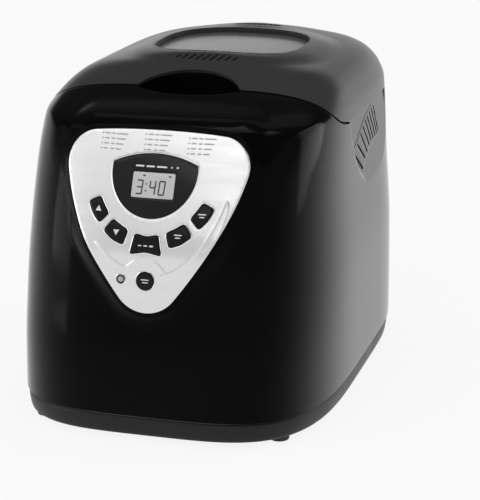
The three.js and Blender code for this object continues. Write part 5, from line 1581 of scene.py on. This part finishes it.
class MakeLid(bpy.types.Operator):
    """Moulds the hinged lid with its grip, vents and window well"""
    bl_idname, bl_label, bl_options = "bread_machine.lid", "Lid", {"REGISTER", "UNDO"}

    def execute(self, context):
        finished(grip_wall_skin(), "lid_grip_wall", "lid", "housing_gloss", "housing")
        return done(self, finished(lid_skin(), "lid", "lid", "housing_gloss", "lid", "lid_shell"))


class MakeWindow(bpy.types.Operator):
    """Sets the smoked window into the lid"""
    bl_idname, bl_label, bl_options = "bread_machine.window", "Window", {"REGISTER", "UNDO"}

    def execute(self, context):
        return done(self, finished(glass_skin(), "lid_window", "lid", "window_glass", "window",
                                   "lid_window_glass"))


class MakePanel(bpy.types.Operator):
    """Forms the shield-shaped metal panel and prints its lists"""
    bl_idname, bl_label, bl_options = "bread_machine.panel", "Control panel", {"REGISTER", "UNDO"}

    def execute(self, context):
        made = [finished(fascia_skin(), "panel", "housing", "fascia_silver", "panel", "fascia", sharp=50.0),
                finished(panel_rims_skin(), "panel_rims", "housing", "fascia_silver", "rim")]
        tree, line = row_tree(finishes()["print"]), bar_mesh("line", 1.0, LIST_HIGH, 0.1, 0.02)
        width, count = sizes().list_width / MM, sizes().list_lines
        rows = []
        for centre in LIST_CENTRES:
            top, at = LIST_TOP - abs(centre - 1) * 0.035, centre - width / 2
            for share, shrink in LIST_WORDS:
                long, less = share * width, shrink * width
                middle = at + long / 2
                start, end = on_panel(np.array([(middle, top), (middle - less / 2, top - LIST_DROP)]),
                                      np.full(2, -0.02)) * MM
                turn = (math.radians(90) - PANEL_TILT, 0, math.atan(middle / PANEL_BOW))
                rows.append({"Count": count, "Start": Vector(start), "Step": Vector(end - start),
                             "Turn": Vector(turn), "Size": Vector((long, 1, 1)),
                             "Size Step": Vector((-less, 0, 0))})
                at += long + LIST_SPACE
        made.append(finished(row_skin(tree, line, rows), "panel_lists", "housing", "fascia_silver", "print"))
        remove_part(line)
        return done(self, made)


class MakeButtons(bpy.types.Operator):
    """Shapes the arc of buttons, the start button and their marks"""
    bl_idname, bl_label, bl_options = "bread_machine.buttons", "Buttons", {"REGISTER", "UNDO"}

    def execute(self, context):
        made = []
        for name in (*BUTTONS, "button_start"):
            cap, mark = ((start_button_skin(), start_marks()) if name == "button_start" else
                         (button_skin(name), button_marks(name)))
            made += [finished(cap, name + "_cap", name, "button_gloss", "button", name),
                     finished(mark, name + "_mark", name, "button_gloss", "mark")]
        return done(self, made)


class MakeDisplay(bpy.types.Operator):
    """Sets the display lens, its screen, figures and power light"""
    bl_idname, bl_label, bl_options = "bread_machine.display", "Display", {"REGISTER", "UNDO"}

    def execute(self, context):
        rows = ((display_window_skin(), "display_lens", "display_lens", "lens", "display_window"),
                (display_module_skin(), "display_screen", "lcd", "screen", "display_module"),
                (digits_skin(sizes().figures), "display_figures", "lcd", "digit"),
                (display_marks(), "display_marks", "display_lens", "mark"),
                (power_light_skin(), "power_lens", "light_lens", "light", "power_light"),
                (power_ring_skin(), "power_ring", "light_lens", "button"))
        return done(self, [finished(skin, name, "housing", *rest) for skin, name, *rest in rows])


class MakeBase(bpy.types.Operator):
    """Moulds the base tray and its four feet"""
    bl_idname, bl_label, bl_options = "bread_machine.base", "Base", {"REGISTER", "UNDO"}

    def execute(self, context):
        made = [finished(base_tray_skin(), "base", "housing", "base_satin", "base", "base_tray")]
        for word, place in FOOT_PLACES.items():
            name = "foot_" + word
            made.append(finished(foot_skin(*place), name + "_pad", "housing", "foot_rubber", "rubber", name))
        return done(self, made)


class DressInside(bpy.types.Operator):
    """Gives the oven, pan, drive and electrics their finishes"""
    bl_idname, bl_label, bl_options = "bread_machine.inside", "Inside", {"REGISTER", "UNDO"}

    def execute(self, context):
        for finish, names in INNER.items():
            dress(names, finishes()[finish])
        return done(self, INNER)


class MakeStage(bpy.types.Operator):
    """Lays the pale floor and sets the lamps and the camera"""
    bl_idname, bl_label, bl_options = "bread_machine.stage", "Stage", {"REGISTER", "UNDO"}

    def execute(self, context):
        stage_floor()
        set_world()
        return done(self, [lamp(*row) for row in LAMPS] + [set_camera()])


# ---------------------------------------------------------------- panel and main

class BreadMachinePanel(bpy.types.Panel):
    bl_idname, bl_label = "VIEW3D_PT_bread_machine", "Bread Machine"
    bl_space_type, bl_region_type, bl_category = "VIEW_3D", "UI", "Bread Machine"

    def draw(self, context):
        for group in (context.scene.bread_machine_sizes, context.scene.bread_machine_colours):
            for name in group.bl_rna.properties.keys():
                if name not in {"rna_type", "name"}:
                    self.layout.prop(group, name)
        for step in STEPS:
            self.layout.operator(step.bl_idname)


STEPS = (MakeHousing, MakeSideVents, MakeLid, MakeWindow, MakePanel, MakeButtons, MakeDisplay, MakeBase,
         DressInside, MakeStage)
CLASSES = (BreadMachineColours, BreadMachineSizes, *STEPS, BreadMachinePanel)


def register():
    for item in CLASSES:
        bpy.utils.register_class(item)
    bpy.types.Scene.bread_machine_colours = bpy.props.PointerProperty(type=BreadMachineColours)
    bpy.types.Scene.bread_machine_sizes = bpy.props.PointerProperty(type=BreadMachineSizes)


def unregister():
    del bpy.types.Scene.bread_machine_sizes
    del bpy.types.Scene.bread_machine_colours
    for item in reversed(CLASSES):
        bpy.utils.unregister_class(item)


def main():
    register()
    bpy.context.scene.view_settings.view_transform = "Standard"
    for step in STEPS:
        group, name = step.bl_idname.split(".")
        getattr(getattr(bpy.ops, group), name)()


if __name__ == "__main__":
    main()
